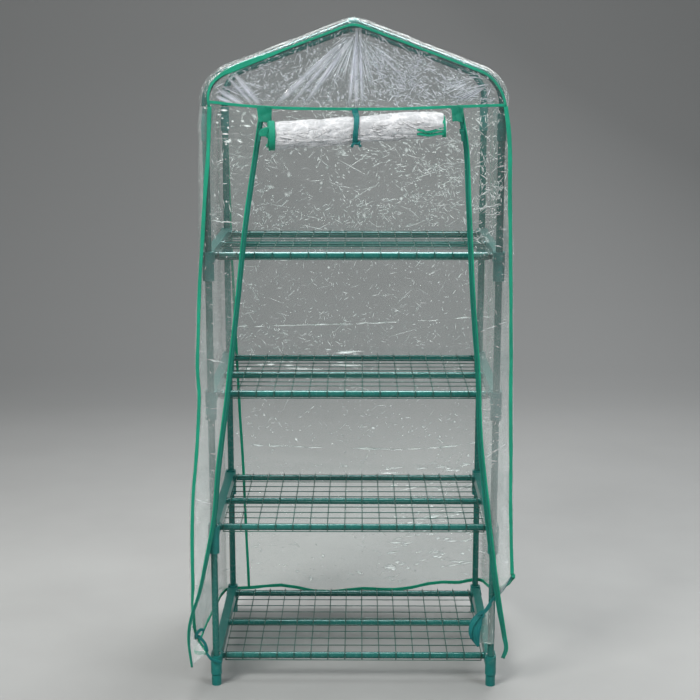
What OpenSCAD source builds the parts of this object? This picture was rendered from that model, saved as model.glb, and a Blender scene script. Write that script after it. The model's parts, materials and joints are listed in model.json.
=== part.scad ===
// Mini pop up greenhouse: four-tier tube frame that folds flat front to rear,
// with a clear film cover, rolled-up door and two zips.
// Millimetres. +Z up, +X right, -Y is the door side. Origin: ground, centre.

/* [Frame] */
// Left post centre to right post centre
post_span_x = 660; // [500:2:800]
// Front post centre to rear post centre
post_span_y = 466; // [380:2:560]
// Outside diameter of all frame tubes
tube_d = 16; // [12:0.5:22]
// Tube wall thickness
tube_wall = 1; // [0.6:0.1:2]
// Height of the joint between posts and roof bows
coupler_z = 1330; // [1200:5:1400]
// Length of the sleeve over that joint
coupler_len = 60; // [40:2:90]

/* [Shelves] */
// Number of shelves
tiers = 4; // [4:1:4]
// Height of the lowest shelf's rail centres
first_tier_z = 62; // [50:1:100]
// Rail centre to rail centre between tiers
tier_pitch = 325.5; // [250:0.5:360]
// Distance from each post centre in to the fold pivot
pivot_inset = 30; // [28:1:40]
// Width of the side channels
channel_w = 21; // [16:0.5:24]
// Side channel sheet thickness
channel_t = 1.5; // [1:0.1:3]
// Width of the wire mesh
mesh_w = 620; // [400:2:700]
// Wires running front to rear
mesh_cross_wires = 16; // [8:1:24]
// Wires running left to right
mesh_long_wires = 11; // [6:1:16]
// Wire thickness
wire_d = 2.4; // [1.5:0.1:4]

/* [Brackets] */
// Width of a post bracket across its two ears
bracket_w = 26; // [22:0.5:32]
// Bracket reach below the rail centre
bracket_drop = 54; // [20:1:70]
// Reach below the rail centre on the lowest tier, above the foot
foot_bracket_drop = 34; // [10:1:34]
// Radius of the ears round the pivot
ear_r = 12; // [10:0.5:13]
// Running clearance of every pivot, on the radius
pivot_play = 0.06; // [0.02:0.01:0.1]
// Radius of the shelf rivets
rivet_r = 4; // [2:0.5:5]

/* [Roof] */
// Slope of the roof in degrees
roof_slope = 20.6; // [10:0.2:35]
// Height where the two roof slopes would meet, on the tube centre
apex_z = 1558; // [1500:1:1650]
// Bend radius at the shoulders
shoulder_r = 78; // [30:1:90]
// Bend radius at the apex
apex_r = 40; // [20:1:80]

/* [Feet] */
// Foot radius
foot_r = 11.5; // [9:0.5:16]
// Foot height
foot_h = 26; // [15:1:27]
// Thickness of the foot's sole
sole_t = 3; // [2:0.5:6]

/* [Cover] */
// Film thickness
film_t = 0.6; // [0.3:0.1:2]
// Gap between the posts' brackets and the film
film_gap = 1.5; // [1:0.5:6]
// Width of the sewn binding
binding_w = 10; // [6:1:20]
// Thickness of the sewn binding
binding_t = 1.6; // [0.8:0.1:3]
// Width of each zip tape
zip_w = 15; // [12:1:30]
// Height of the front eave binding at the middle
eave_z = 1370; // [1300:1:1400]
// Radius of the rolled door at its fat end
roll_r1 = 32; // [20:1:45]
// Radius of the rolled door at its thin end
roll_r2 = 31; // [15:1:45]

/* [Hidden] */
tube_r = tube_d / 2;
bore_r = tube_r - tube_wall;
px = post_span_x / 2;
py = post_span_y / 2;
pivot_y = py - pivot_inset;
bore_gap = 0.05;
mark_len = 3;
mark_h = 0.12;
sleeve_r = bracket_w / 2;
ear_gap = 0.3;
ear_in = channel_w / 2 + ear_gap;
rail_half = px - channel_w / 2;
channel_top = 12;
channel_drop = 15;
mesh_z = tube_r;
mesh_pitch_x = (mesh_w - wire_d) / (mesh_cross_wires - 1);
mesh_y = pivot_y + tube_r + wire_d / 2;
mesh_pitch_y = 2 * mesh_y / (mesh_long_wires - 1);
mesh_lip = 17;
post_z0 = sole_t + bore_gap;
corner_z = apex_z - px * tan(roof_slope);
bend_a = 90 - roof_slope;
tangent = shoulder_r * tan(bend_a / 2);
apex_tangent = apex_r * tan(roof_slope);
apex_peak_z = apex_z - apex_r * (1 / cos(roof_slope) - 1);
slope_len = px / cos(roof_slope) - tangent - apex_tangent;
ridge_ear_in = tube_r + ear_gap;
ridge_ear_t = 2.2;
ridge_clamp_r = 11;
ridge_end = 8;
ridge_rivet_r = 3;
rivet_head_t = 1.5;
roof_gap = 11.5;
film_y = py + sleeve_r + film_gap;
front_y = -film_y - film_t;
lay_y = front_y - 0.1;
zip_t = 1.2;
zip_y = lay_y - binding_t - 0.1;
patch = 30;
patch_x = [-197, 228];
patch_y = zip_y - zip_t - 0.1;
wall_bottom_z = 56;

// half-widths of the film's side walls from eave to hem, inside face
side_x = [[12.5, 1375], [17, 1060], [19, 943], [23, 710], [32, 590],
          [44, 470], [50, 346], [50, 220], [46, wall_bottom_z]];
// door edge lines on the front plane, from the eave down
zip_left = [[-202, 1364], [-244, 1102], [-262, 943], [-282, 780], [-314, 541],
            [-327, 419], [-346, 321], [-364, 246], [-390, 157], [-398, 107],
            [-387, 48]];
zip_right = [[236, 1364], [259, 1125], [271, 943], [284, 780], [309, 469],
             [324, 347], [335, 221], [350, 95]];
zip_left_a = atan2(327 - 202, 1364 - 419);
zip_right_a = atan2(309 - 236, 1364 - 469);
slider_drop = 42;
slider_h = 12;
slider_w = 10;
slider_t = 4;
tab_len = 22;
tab_w = 6;
tab_t = 1.4;
tab_pin_r = 1.1;
tab_eye_r = 2.3;
tab_eye_w = 5;
cheek_t = 1.6;
pin_out = 3.5;
roll_left = [-194, 1314];
roll_right = [204, 1338];
left_tie = [[-375, 122], [-371, 148], [-358, 144], [-350, 110]];
right_tie = [301, 128];
right_tie_r = 26;
tie_w = 8;
tie_t = 1.5;
roll_y = patch_y - roll_r1 - 2.5;

frame_green = [0.02, 0.27, 0.24];
bracket_green = [0.03, 0.3, 0.27];
binding_green = [0.05, 0.5, 0.36];
zip_green = [0.05, 0.4, 0.32];
metal_grey = [0.6, 0.62, 0.62];
film_clear = [0.85, 0.9, 0.92, 0.35];

function tier_z(i) = first_tier_z + i * tier_pitch;

// ---- helpers ----

module along_x(len) {
    rotate([0, 90, 0])
        translate([0, 0, -len / 2])
            children();
}

module pipe(r_out, r_in, len) {
    difference() {
        cylinder(r = r_out, h = len, $fn = 48);
        translate([0, 0, -1])
            cylinder(r = r_in, h = len + 2, $fn = 48);
    }
}

module plate_xz(t) {
    rotate([90, 0, 0])
        linear_extrude(height = t)
            children();
}

// unit normal of the run from a to b, to its left
function normal(a, b) = let (d = b - a) [-d[1], d[0]] / norm(d);
// mitred offset of point i on the line p
function shifted(p, i, off) =
    let (last = len(p) - 1,
         n1 = normal(p[max(i - 1, 0)], p[max(i, 1)]),
         n2 = normal(p[min(i, last - 1)], p[min(i + 1, last)]),
         m = n1 + n2)
    p[i] + m * (2 * off / (m * m));
function flip(p) = [for (i = [len(p) - 1:-1:0]) p[i]];
function band(p, w) = concat(
    [for (i = [0:len(p) - 1]) shifted(p, i, w / 2)],
    flip([for (i = [0:len(p) - 1]) shifted(p, i, -w / 2)]));
function mirrored(p) = [for (q = p) [-q[0], q[1]]];

// flat sewn strip w wide along the line p, its back face at y
module strip(p, w, y, t = binding_t) {
    translate([0, y, 0])
        plate_xz(t)
            polygon(band(p, w));
}

// ---- posts, brackets and feet ----

module post(sx, sy) {
    color(frame_green)
        translate([sx * px, sy * py, post_z0])
            pipe(tube_r, bore_r, coupler_z - post_z0);
}

// ear plate profile from the sleeve in to the pivot
module ear(x0, t, r, hole_r, reach) {
    translate([x0, 0, 0])
        rotate([90, 0, 90])
            linear_extrude(height = t)
                difference() {
                    union() {
                        circle(r = r, $fn = 64);
                        translate([0, -r])
                            square([reach, 2 * r]);
                    }
                    circle(r = hole_r, $fn = 64);
                }
}

// post bracket at the origin of its post centre; ears point towards +y * dir
module bracket(z, sx, sy, drop) {
    translate([sx * px, sy * py, z])
        scale([sx, -sy, 1])
            difference() {
                union() {
                    translate([0, 0, -drop])
                        cylinder(r = sleeve_r, h = drop + ear_r, $fn = 64);
                    translate([0, pivot_inset, 0])
                        mirror([0, 1, 0]) {
                            ear(ear_in, sleeve_r - ear_in, ear_r,
                                rivet_r + pivot_play, pivot_inset);
                            ear(-sleeve_r, sleeve_r - ear_in, ear_r,
                                tube_r + pivot_play, pivot_inset);
                        }
                }
                translate([0, 0, -drop - 1])
                    cylinder(r = tube_r + bore_gap, h = drop + ear_r + 2, $fn = 48);
            }
}

module brackets(sx, sy) {
    color(bracket_green)
        for (i = [0:tiers - 1])
            bracket(tier_z(i), sx, sy, i == 0 ? foot_bracket_drop : bracket_drop);
}

module foot(sx, sy) {
    color(bracket_green)
        translate([sx * px, sy * py, 0])
            difference() {
                cylinder(r = foot_r, h = foot_h, $fn = 48);
                translate([0, 0, sole_t])
                    cylinder(r = tube_r + bore_gap, h = foot_h, $fn = 48);
            }
}

module couplers(sy) {
    color(bracket_green)
        for (sx = [-1, 1])
            translate([sx * px, sy * py, coupler_z - coupler_len / 2])
                pipe(tube_r + 2.5, tube_r + bore_gap, coupler_len);
}

// ---- roof bows and ridge ----

// short band where a straight run meets a bend, a hair over the tube's radius
module bend_mark(r) {
    translate([0, 0, -mark_len / 2])
        cylinder(r = r + mark_h, h = mark_len, $fn = 48);
}

// half of the bow's tube path, filled with radius r, on the right-hand side
module half_bow(r) {
    translate([px, 0, coupler_z])
        cylinder(r = r, h = corner_z - tangent - coupler_z, $fn = 48);
    translate([px, 0, corner_z - tangent])
        bend_mark(r);
    translate([px - shoulder_r, 0, corner_z - tangent])
        rotate([90, 0, 0])
            rotate_extrude(angle = bend_a, $fn = 96)
                translate([shoulder_r, 0])
                    circle(r = r, $fn = 48);
    translate([px - tangent * cos(roof_slope), 0, corner_z + tangent * sin(roof_slope)])
        rotate([0, -bend_a, 0]) {
            cylinder(r = r, h = slope_len, $fn = 48);
            bend_mark(r);
            translate([0, 0, slope_len])
                bend_mark(r);
        }
}

module bow_path(r) {
    half_bow(r);
    mirror([1, 0, 0])
        half_bow(r);
    translate([0, 0, apex_peak_z - apex_r])
        rotate([90, 0, 0])
            rotate([0, 0, 90 - roof_slope])
                rotate_extrude(angle = 2 * roof_slope, $fn = 96)
                    translate([apex_r, 0])
                        circle(r = r, $fn = 48);
}

module roof_bow(sy) {
    color(frame_green)
        translate([0, sy * py, 0])
            difference() {
                bow_path(tube_r);
                bow_path(bore_r);
            }
}

module ridge_bracket(sy) {
    color(bracket_green)
        translate([0, sy * py, apex_peak_z])
            scale([1, -sy, 1])
                difference() {
                    union() {
                        along_x(2 * (ridge_ear_in + ridge_ear_t))
                            cylinder(r = ridge_clamp_r,
                                     h = 2 * (ridge_ear_in + ridge_ear_t), $fn = 48);
                        translate([0, pivot_inset, 0])
                            mirror([0, 1, 0])
                                for (x = [ridge_ear_in, -ridge_ear_in - ridge_ear_t])
                                    ear(x, ridge_ear_t, 10, ridge_rivet_r + pivot_play,
                                        pivot_inset);
                    }
                    translate([0, 0, -apex_peak_z])
                        bow_path(tube_r + bore_gap);
                }
}

module ridge_bar() {
    color(frame_green)
        translate([0, pivot_y + ridge_end, apex_peak_z])
            rotate([90, 0, 0])
                difference() {
                    pipe(tube_r, bore_r, 2 * (pivot_y + ridge_end));
                    for (z = [ridge_end, ridge_end + 2 * pivot_y])
                        translate([0, 0, z])
                            along_x(3 * tube_r)
                                cylinder(r = ridge_rivet_r, h = 3 * tube_r, $fn = 32);
                }
}

module ridge_rivets() {
    grip = 2 * (ridge_ear_in + ridge_ear_t + 0.2);
    color(metal_grey)
        for (y = [-pivot_y, pivot_y])
            translate([0, y, apex_peak_z]) {
                along_x(grip)
                    cylinder(r = ridge_rivet_r, h = grip, $fn = 32);
                for (x = [-grip / 2 - rivet_head_t / 2, grip / 2 + rivet_head_t / 2])
                    translate([x, 0, 0])
                        along_x(rivet_head_t)
                            cylinder(r = 5, h = rivet_head_t, $fn = 32);
            }
}

// ---- shelves ----

module rail(i, y) {
    color(frame_green)
        translate([0, y, tier_z(i)])
            along_x(2 * rail_half)
                pipe(tube_r, bore_r, 2 * rail_half);
}

// side profile of a channel: straight, rounded off round both pivots
module channel_profile() {
    intersection() {
        union() {
            translate([-pivot_y, -channel_drop])
                square([2 * pivot_y, channel_drop + channel_top]);
            for (y = [-pivot_y, pivot_y])
                translate([y, 0])
                    circle(r = channel_drop, $fn = 64);
        }
        translate([-py, -channel_drop])
            square([2 * py, channel_drop + channel_top]);
    }
}

module side_channels(i) {
    color(frame_green)
        for (sx = [-1, 1])
            translate([sx * px, 0, tier_z(i)])
                scale([sx, 1, 1])
                    difference() {
                        translate([-channel_w / 2, 0, 0])
                            rotate([90, 0, 90])
                                linear_extrude(height = channel_w)
                                    channel_profile();
                        translate([-channel_w / 2 + channel_t, -py, -channel_drop - 1])
                            cube([channel_w - 2 * channel_t, 2 * py,
                                  channel_drop + 1 + channel_top - channel_t]);
                        for (y = [-pivot_y, pivot_y])
                            translate([channel_w / 4, y, 0])
                                rivet_hole();
                    }
}

// rivet hole through the outer wall of a channel
module rivet_hole() {
    rotate([0, 90, 0])
        cylinder(r = rivet_r, h = channel_w, $fn = 48);
}

module shelf_rivets(i) {
    x_in = px + channel_w / 2 - channel_t - rivet_head_t;
    shank = sleeve_r + px + 0.2 - x_in;
    color(metal_grey)
        for (sx = [-1, 1], y = [-pivot_y, pivot_y])
            translate([sx * x_in, y, tier_z(i)])
                scale([sx, 1, 1])
                    rotate([0, 90, 0]) {
                        cylinder(r = rivet_r, h = shank, $fn = 48);
                        cylinder(r = rivet_r + 2.5, h = rivet_head_t, $fn = 48);
                        translate([0, 0, shank])
                            cylinder(r = rivet_r + 2.5, h = rivet_head_t, $fn = 48);
                    }
}

// welded wire mesh, its front and rear edges turned down over the rails
module shelf_mesh(i) {
    color(frame_green)
        translate([0, 0, tier_z(i) + mesh_z]) {
            linear_extrude(height = wire_d) {
                for (k = [0:mesh_cross_wires - 1])
                    translate([-mesh_w / 2 + k * mesh_pitch_x, -mesh_y - wire_d / 2])
                        square([wire_d, 2 * mesh_y + wire_d]);
                for (k = [0:mesh_long_wires - 1])
                    translate([-mesh_w / 2, -mesh_y - wire_d / 2 + k * mesh_pitch_y])
                        square([mesh_w, wire_d]);
            }
            for (s = [-1, 1], k = [0:mesh_cross_wires - 1])
                translate([-mesh_w / 2 + k * mesh_pitch_x,
                           s * mesh_y - wire_d / 2, -mesh_lip])
                    cube([wire_d, wire_d, mesh_lip + wire_d / 2]);
            for (s = [-1, 1])
                translate([-mesh_w / 2, s * mesh_y - wire_d / 2, -mesh_lip])
                    cube([mesh_w, wire_d, wire_d]);
        }
}

// ---- film cover ----

// outline of the film from the front, grown by g from its inside face
function cover_line(g) = concat(
    [for (q = flip(side_x)) [px + q[0] + g, q[1]]],
    [for (a = [0:bend_a / 6:bend_a])
        [px - shoulder_r + (shoulder_r + roof_gap + g) * cos(a),
         corner_z - tangent + (shoulder_r + roof_gap + g) * sin(a)]],
    [[0, apex_z + (roof_gap + g) / cos(roof_slope)]]);
function cover_outline(g) = concat(cover_line(g),
    flip([for (q = cover_line(g)) if (q[0] > 0) [-q[0], q[1]]]));

function door_edge(p, s) = [for (q = p)
    if (q[1] > wall_bottom_z) [s * min(abs(q[0]), px + 46 - 2), q[1]]];

module cover_film() {
    door = concat([[-202, eave_z - 6]], door_edge(zip_left, -1),
                  [[-px - 44, 0], [px + 20, 0]], flip(door_edge(zip_right, 1)),
                  [[236, eave_z - 6]]);
    color(film_clear)
        difference() {
            translate([0, film_y + film_t, 0])
                plate_xz(2 * (film_y + film_t))
                    polygon(cover_outline(film_t));
            translate([0, film_y, 0])
                plate_xz(2 * film_y)
                    union() {
                        polygon(cover_outline(0));
                        translate([-px - 46, 0])
                            square([2 * px + 92, wall_bottom_z + 1]);
                    }
            translate([0, -film_y + 1, 0])
                plate_xz(film_t + 2)
                    polygon(door);
        }
}

// front roof line, d inside the film's outline
function gable_line(d) =
    let (r = shoulder_r + roof_gap - d)
    concat(
        [[px - shoulder_r + r + 3, eave_z + binding_w]],
        [for (a = [0:bend_a / 5:bend_a])
            [px - shoulder_r + r * cos(a), corner_z - tangent + r * sin(a)]],
        [[0, apex_z + (roof_gap - d) / cos(roof_slope)]],
        [for (a = [bend_a:-bend_a / 5:0])
            [shoulder_r - px - r * cos(a), corner_z - tangent + r * sin(a)]],
        [[shoulder_r - px - r - 3, eave_z + binding_w]]);

corner_line = [for (q = side_x) [px + q[0] - binding_w / 2 - 2, q[1]]];

module gable_binding(sy) {
    color(binding_green)
        strip(gable_line(15), binding_w, sy < 0 ? lay_y : -lay_y + binding_t);
}

module corner_bindings(sy) {
    color(binding_green)
        for (p = [corner_line, mirrored(corner_line)])
            strip(p, binding_w, sy < 0 ? lay_y : -lay_y + binding_t);
}

module front_eave_binding() {
    half = px - 2 * binding_w;
    color(binding_green)
        strip([[-half, eave_z + 14], [-half * 0.6, eave_z + 5], [0, eave_z],
               [half * 0.6, eave_z + 4], [half, eave_z + 7]], binding_w, lay_y);
}

// ---- zips ----

zip_top = eave_z - binding_w / 2 - 4;

module zip_tape(p) {
    color(zip_green)
        strip(concat([[p[0][0], zip_top - 2]], [for (i = [1:len(p) - 1]) p[i]]),
              zip_w, zip_y, t = zip_t);
}

// frame of a slider: origin on the tape, -z down along the zip
module on_zip(p, a) {
    translate([p[0][0] + slider_drop * sin(a), patch_y, p[0][1] - slider_drop * cos(a)])
        rotate([0, -a, 0])
            children();
}

module slider_body() {
    translate([-slider_w / 2, -slider_t - 0.1, -slider_h / 2])
        cube([slider_w, slider_t, slider_h]);
    for (x = [-1, 1])
        translate([x > 0 ? tab_eye_w / 2 + 0.3 : -tab_eye_w / 2 - 0.3 - cheek_t, 0, 0])
            rotate([90, 0, 90])
                linear_extrude(height = cheek_t)
                    union() {
                        translate([-slider_t - pin_out, 0])
                            circle(r = tab_eye_r, $fn = 32);
                        translate([-slider_t - pin_out, -tab_eye_r])
                            square([pin_out + 0.5, 2 * tab_eye_r]);
                    }
    translate([0, -slider_t - pin_out, 0])
        along_x(tab_eye_w + 2)
            cylinder(r = tab_pin_r, h = tab_eye_w + 2, $fn = 32);
}

module pull_tab_body() {
    translate([0, -slider_t - pin_out, 0])
        difference() {
            union() {
                along_x(tab_eye_w)
                    cylinder(r = tab_eye_r, h = tab_eye_w, $fn = 32);
                translate([-tab_eye_w / 2, -tab_t / 2, -tab_eye_r - 3])
                    cube([tab_eye_w, tab_t, tab_eye_r + 2]);
                translate([-tab_w / 2, -tab_t / 2, -tab_len])
                    cube([tab_w, tab_t, tab_len - tab_eye_r - 2]);
            }
            along_x(tab_eye_w + 2)
                cylinder(r = tab_pin_r + pivot_play, h = tab_eye_w + 2, $fn = 32);
        }
}

module zip_patches() {
    color(binding_green)
        for (x = patch_x)
            translate([x - patch / 2, patch_y, eave_z + binding_w / 2 - patch])
                plate_xz(zip_t)
                    square(patch);
}

// ---- rolled door ----

roll_len = norm(roll_right - roll_left);
roll_a = atan2(roll_right[1] - roll_left[1], roll_right[0] - roll_left[0]);

module rolled_door() {
    color(film_clear)
        translate([roll_left[0], roll_y, roll_left[1]])
            rotate([0, 90 - roll_a, 0])
                cylinder(r1 = roll_r1, r2 = roll_r2, h = roll_len, $fn = 64);
}

module door_tie() {
    mid_r = (roll_r1 + roll_r2) / 2 + 2;
    mid = (roll_left + roll_right) / 2;
    color(zip_green)
        difference() {
            union() {
                translate([mid[0], roll_y, mid[1]])
                    along_x(10)
                        cylinder(r = mid_r + 1.5, h = 10, $fn = 64);
                translate([mid[0] - 5, roll_y, mid[1]])
                    cube([10, patch_y - roll_y, mid_r + 1.5]);
            }
            translate([mid[0], roll_y, mid[1]])
                along_x(20)
                    cylinder(r = mid_r, h = 20, $fn = 64);
        }
}

// hem ties: a loose strap end at the left, a loop round the gathered hem at the right
module hem_ties() {
    color(zip_green) {
        strip(left_tie, tie_w, patch_y - 0.5, t = tie_t);
        translate([right_tie[0], patch_y - 1, right_tie[1]])
            rotate([90, 0, 0])
                pipe(right_tie_r, right_tie_r - tie_t, tie_w);
    }
}

// ---- nodes ----

module front_left_post() { post(-1, -1); }
module front_right_post() { post(1, -1); }
module rear_left_post() { post(-1, 1); }
module rear_right_post() { post(1, 1); }
module front_left_brackets() { brackets(-1, -1); }
module front_right_brackets() { brackets(1, -1); }
module rear_left_brackets() { brackets(-1, 1); }
module rear_right_brackets() { brackets(1, 1); }
module front_left_foot() { foot(-1, -1); }
module front_right_foot() { foot(1, -1); }
module rear_left_foot() { foot(-1, 1); }
module rear_right_foot() { foot(1, 1); }
module front_couplers() { couplers(-1); }
module rear_couplers() { couplers(1); }
module front_roof_bow() { roof_bow(-1); }
module rear_roof_bow() { roof_bow(1); }
module front_ridge_bracket() { ridge_bracket(-1); }
module rear_ridge_bracket() { ridge_bracket(1); }
module shelf_1_front_rail() { rail(0, -pivot_y); }
module shelf_1_middle_rail() { rail(0, 0); }
module shelf_1_rear_rail() { rail(0, pivot_y); }
module shelf_1_side_channels() { side_channels(0); }
module shelf_1_mesh() { shelf_mesh(0); }
module shelf_1_rivets() { shelf_rivets(0); }
module shelf_2_front_rail() { rail(1, -pivot_y); }
module shelf_2_middle_rail() { rail(1, 0); }
module shelf_2_rear_rail() { rail(1, pivot_y); }
module shelf_2_side_channels() { side_channels(1); }
module shelf_2_mesh() { shelf_mesh(1); }
module shelf_2_rivets() { shelf_rivets(1); }
module shelf_3_front_rail() { rail(2, -pivot_y); }
module shelf_3_middle_rail() { rail(2, 0); }
module shelf_3_rear_rail() { rail(2, pivot_y); }
module shelf_3_side_channels() { side_channels(2); }
module shelf_3_mesh() { shelf_mesh(2); }
module shelf_3_rivets() { shelf_rivets(2); }
module shelf_4_front_rail() { rail(3, -pivot_y); }
module shelf_4_middle_rail() { rail(3, 0); }
module shelf_4_rear_rail() { rail(3, pivot_y); }
module shelf_4_side_channels() { side_channels(3); }
module shelf_4_mesh() { shelf_mesh(3); }
module shelf_4_rivets() { shelf_rivets(3); }
module front_gable_binding() { gable_binding(-1); }
module rear_gable_binding() { gable_binding(1); }
module front_corner_bindings() { corner_bindings(-1); }
module rear_corner_bindings() { corner_bindings(1); }
module left_zip_tape() { zip_tape(zip_left); }
module right_zip_tape() { zip_tape(zip_right); }
module left_zip_slider() { color(metal_grey) on_zip(zip_left, -zip_left_a) slider_body(); }
module right_zip_slider() { color(metal_grey) on_zip(zip_right, zip_right_a) slider_body(); }
module left_pull_tab() { color(metal_grey) on_zip(zip_left, -zip_left_a) pull_tab_body(); }
module right_pull_tab() { color(metal_grey) on_zip(zip_right, zip_right_a) pull_tab_body(); }

front_left_post();
front_right_post();
rear_left_post();
rear_right_post();
front_left_brackets();
front_right_brackets();
rear_left_brackets();
rear_right_brackets();
front_left_foot();
front_right_foot();
rear_left_foot();
rear_right_foot();
front_couplers();
rear_couplers();
front_roof_bow();
rear_roof_bow();
front_ridge_bracket();
rear_ridge_bracket();
ridge_bar();
ridge_rivets();
shelf_1_front_rail();
shelf_1_middle_rail();
shelf_1_rear_rail();
shelf_1_side_channels();
shelf_1_mesh();
shelf_1_rivets();
shelf_2_front_rail();
shelf_2_middle_rail();
shelf_2_rear_rail();
shelf_2_side_channels();
shelf_2_mesh();
shelf_2_rivets();
shelf_3_front_rail();
shelf_3_middle_rail();
shelf_3_rear_rail();
shelf_3_side_channels();
shelf_3_mesh();
shelf_3_rivets();
shelf_4_front_rail();
shelf_4_middle_rail();
shelf_4_rear_rail();
shelf_4_side_channels();
shelf_4_mesh();
shelf_4_rivets();
cover_film();
front_gable_binding();
front_eave_binding();
front_corner_bindings();
rear_gable_binding();
rear_corner_bindings();
left_zip_tape();
right_zip_tape();
left_zip_slider();
right_zip_slider();
left_pull_tab();
right_pull_tab();
rolled_door();
door_tie();
zip_patches();
hem_ties();
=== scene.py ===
import json
import math

import bpy
import numpy as np
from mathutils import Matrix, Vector

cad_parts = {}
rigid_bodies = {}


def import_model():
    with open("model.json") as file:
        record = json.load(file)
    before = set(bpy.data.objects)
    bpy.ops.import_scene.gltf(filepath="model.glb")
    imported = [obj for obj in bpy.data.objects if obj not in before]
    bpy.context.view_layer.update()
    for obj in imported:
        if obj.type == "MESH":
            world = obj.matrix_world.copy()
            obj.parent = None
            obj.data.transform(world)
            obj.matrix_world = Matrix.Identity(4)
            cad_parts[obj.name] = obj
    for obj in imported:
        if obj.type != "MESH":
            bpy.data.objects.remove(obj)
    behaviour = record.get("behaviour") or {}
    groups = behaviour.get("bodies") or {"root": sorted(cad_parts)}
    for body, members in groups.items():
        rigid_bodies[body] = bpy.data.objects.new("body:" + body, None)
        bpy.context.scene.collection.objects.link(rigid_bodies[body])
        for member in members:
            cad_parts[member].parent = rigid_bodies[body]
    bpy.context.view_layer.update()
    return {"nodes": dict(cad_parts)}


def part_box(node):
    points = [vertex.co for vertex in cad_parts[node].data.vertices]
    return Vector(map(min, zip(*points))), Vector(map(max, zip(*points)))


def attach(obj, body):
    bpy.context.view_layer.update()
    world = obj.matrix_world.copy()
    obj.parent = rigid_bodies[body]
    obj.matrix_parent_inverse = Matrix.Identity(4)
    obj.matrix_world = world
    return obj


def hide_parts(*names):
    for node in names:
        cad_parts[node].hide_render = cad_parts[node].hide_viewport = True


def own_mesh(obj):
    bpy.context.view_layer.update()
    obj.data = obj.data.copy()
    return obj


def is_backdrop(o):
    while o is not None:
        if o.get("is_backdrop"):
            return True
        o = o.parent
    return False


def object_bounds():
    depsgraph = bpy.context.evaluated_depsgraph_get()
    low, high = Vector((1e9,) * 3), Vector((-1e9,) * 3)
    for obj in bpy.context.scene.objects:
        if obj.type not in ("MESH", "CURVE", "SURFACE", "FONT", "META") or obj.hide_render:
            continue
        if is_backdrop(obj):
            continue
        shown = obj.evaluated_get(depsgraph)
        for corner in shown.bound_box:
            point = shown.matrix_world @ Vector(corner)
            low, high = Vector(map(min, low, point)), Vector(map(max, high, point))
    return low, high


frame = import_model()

# A pop up greenhouse: coated tube frame with wire shelves, under a clear film cover with its
# door rolled up. x runs left to right, y front to rear, z up. Lengths are in mm until make_mesh
# turns them into metres; materials work in metres.
MM = 0.001

# ---- noise

LATTICE = 32
LATTICE_VALUES = np.random.RandomState(7).rand(LATTICE, LATTICE, LATTICE)


def noise3(p, scale, seed):
    """Smooth value noise in 0..1 at points p (N x 3)."""
    q = np.asarray(p, float) * scale + seed * 7.31 + 100.0
    cell = np.floor(q).astype(int)
    f = q - cell
    f = f * f * (3 - 2 * f)
    out = 0.0
    for corner in np.ndindex(2, 2, 2):
        weight = np.prod(np.where(corner, f, 1 - f), -1)
        x, y, z = np.moveaxis((cell + corner) % LATTICE, -1, 0)
        out = out + weight * LATTICE_VALUES[x, y, z]
    return out


def fbm(p, scale, seed, octaves):
    """Noise of several sizes added up, each half as strong and half as large as the last."""
    total, amp, norm = 0.0, 1.0, 0.0
    for k in range(octaves):
        total = total + amp * noise3(p, scale * 2 ** k, seed + k)
        norm += amp
        amp *= 0.5
    return total / norm


def ridge(p, scale, seed, sharp):
    """Thin raised lines, 0..1."""
    warp = (noise3(p, scale * 0.6, seed + 11)[..., None] - 0.5) * 0.9 / scale
    n = fbm(p + warp, scale, seed, 2)
    return np.clip(1 - np.abs(2 * n - 1) * 2.2, 0, 1) ** sharp


# ---- mesh helpers

def make_mesh(name, verts, faces, mat, uvs=None, attrs=None, smooth=True):
    me = bpy.data.meshes.new(name)
    me.from_pydata([tuple(v) for v in np.asarray(verts) * MM], [], faces)
    me.update()
    if uvs is not None:
        layer = me.uv_layers.new(name="UVMap")
        loops = np.zeros(len(me.loops), int)
        me.loops.foreach_get("vertex_index", loops)
        layer.data.foreach_set("uv", np.asarray(uvs, np.float32)[loops].ravel())
    for key, values in (attrs or {}).items():
        a = me.attributes.new(key, "FLOAT", "POINT")
        a.data.foreach_set("value", np.asarray(values, np.float32).ravel())
    me.polygons.foreach_set("use_smooth", [smooth] * len(me.polygons))
    me.materials.append(mat)
    ob = bpy.data.objects.new(name, me)
    bpy.context.scene.collection.objects.link(ob)
    return ob


def grid_faces(rows, cols, offset=0, close=False):
    out = []
    last = cols if close else cols - 1
    for r in range(rows - 1):
        for c in range(last):
            a = offset + r * cols + c
            b = offset + r * cols + (c + 1) % cols
            out.append((a, b, b + cols, a + cols))
    return out


def unit(v):
    v = np.asarray(v, float)
    return v / np.maximum(np.linalg.norm(v, axis=-1, keepdims=True), 1e-9)


def arc_length(p):
    return np.concatenate([[0], np.cumsum(np.linalg.norm(np.diff(p, axis=0), axis=1))])


def resample(p, n):
    p = np.asarray(p, float)
    s = arc_length(p)
    t = np.linspace(0, s[-1], n)
    return np.stack([np.interp(t, s, p[:, k]) for k in range(p.shape[1])], 1)


def smooth_path(points, step):
    """A smooth curve through the points, resampled evenly about every step mm."""
    p = np.asarray(points, float)
    if len(p) > 2:
        ext = np.vstack([2 * p[0] - p[1], p, 2 * p[-1] - p[-2]])
        out = []
        for i in range(1, len(ext) - 2):
            t = np.linspace(0, 1, 16, endpoint=False)[:, None]
            a, b, c, d = ext[i - 1], ext[i], ext[i + 1], ext[i + 2]
            out.append(0.5 * ((2 * b) + (c - a) * t + (2 * a - 5 * b + 4 * c - d) * t ** 2
                              + (3 * b - a - 3 * c + d) * t ** 3))
        out.append(p[-1:])
        p = np.vstack(out)
    return resample(p, max(2, int(arc_length(p)[-1] / step) + 1))


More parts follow.
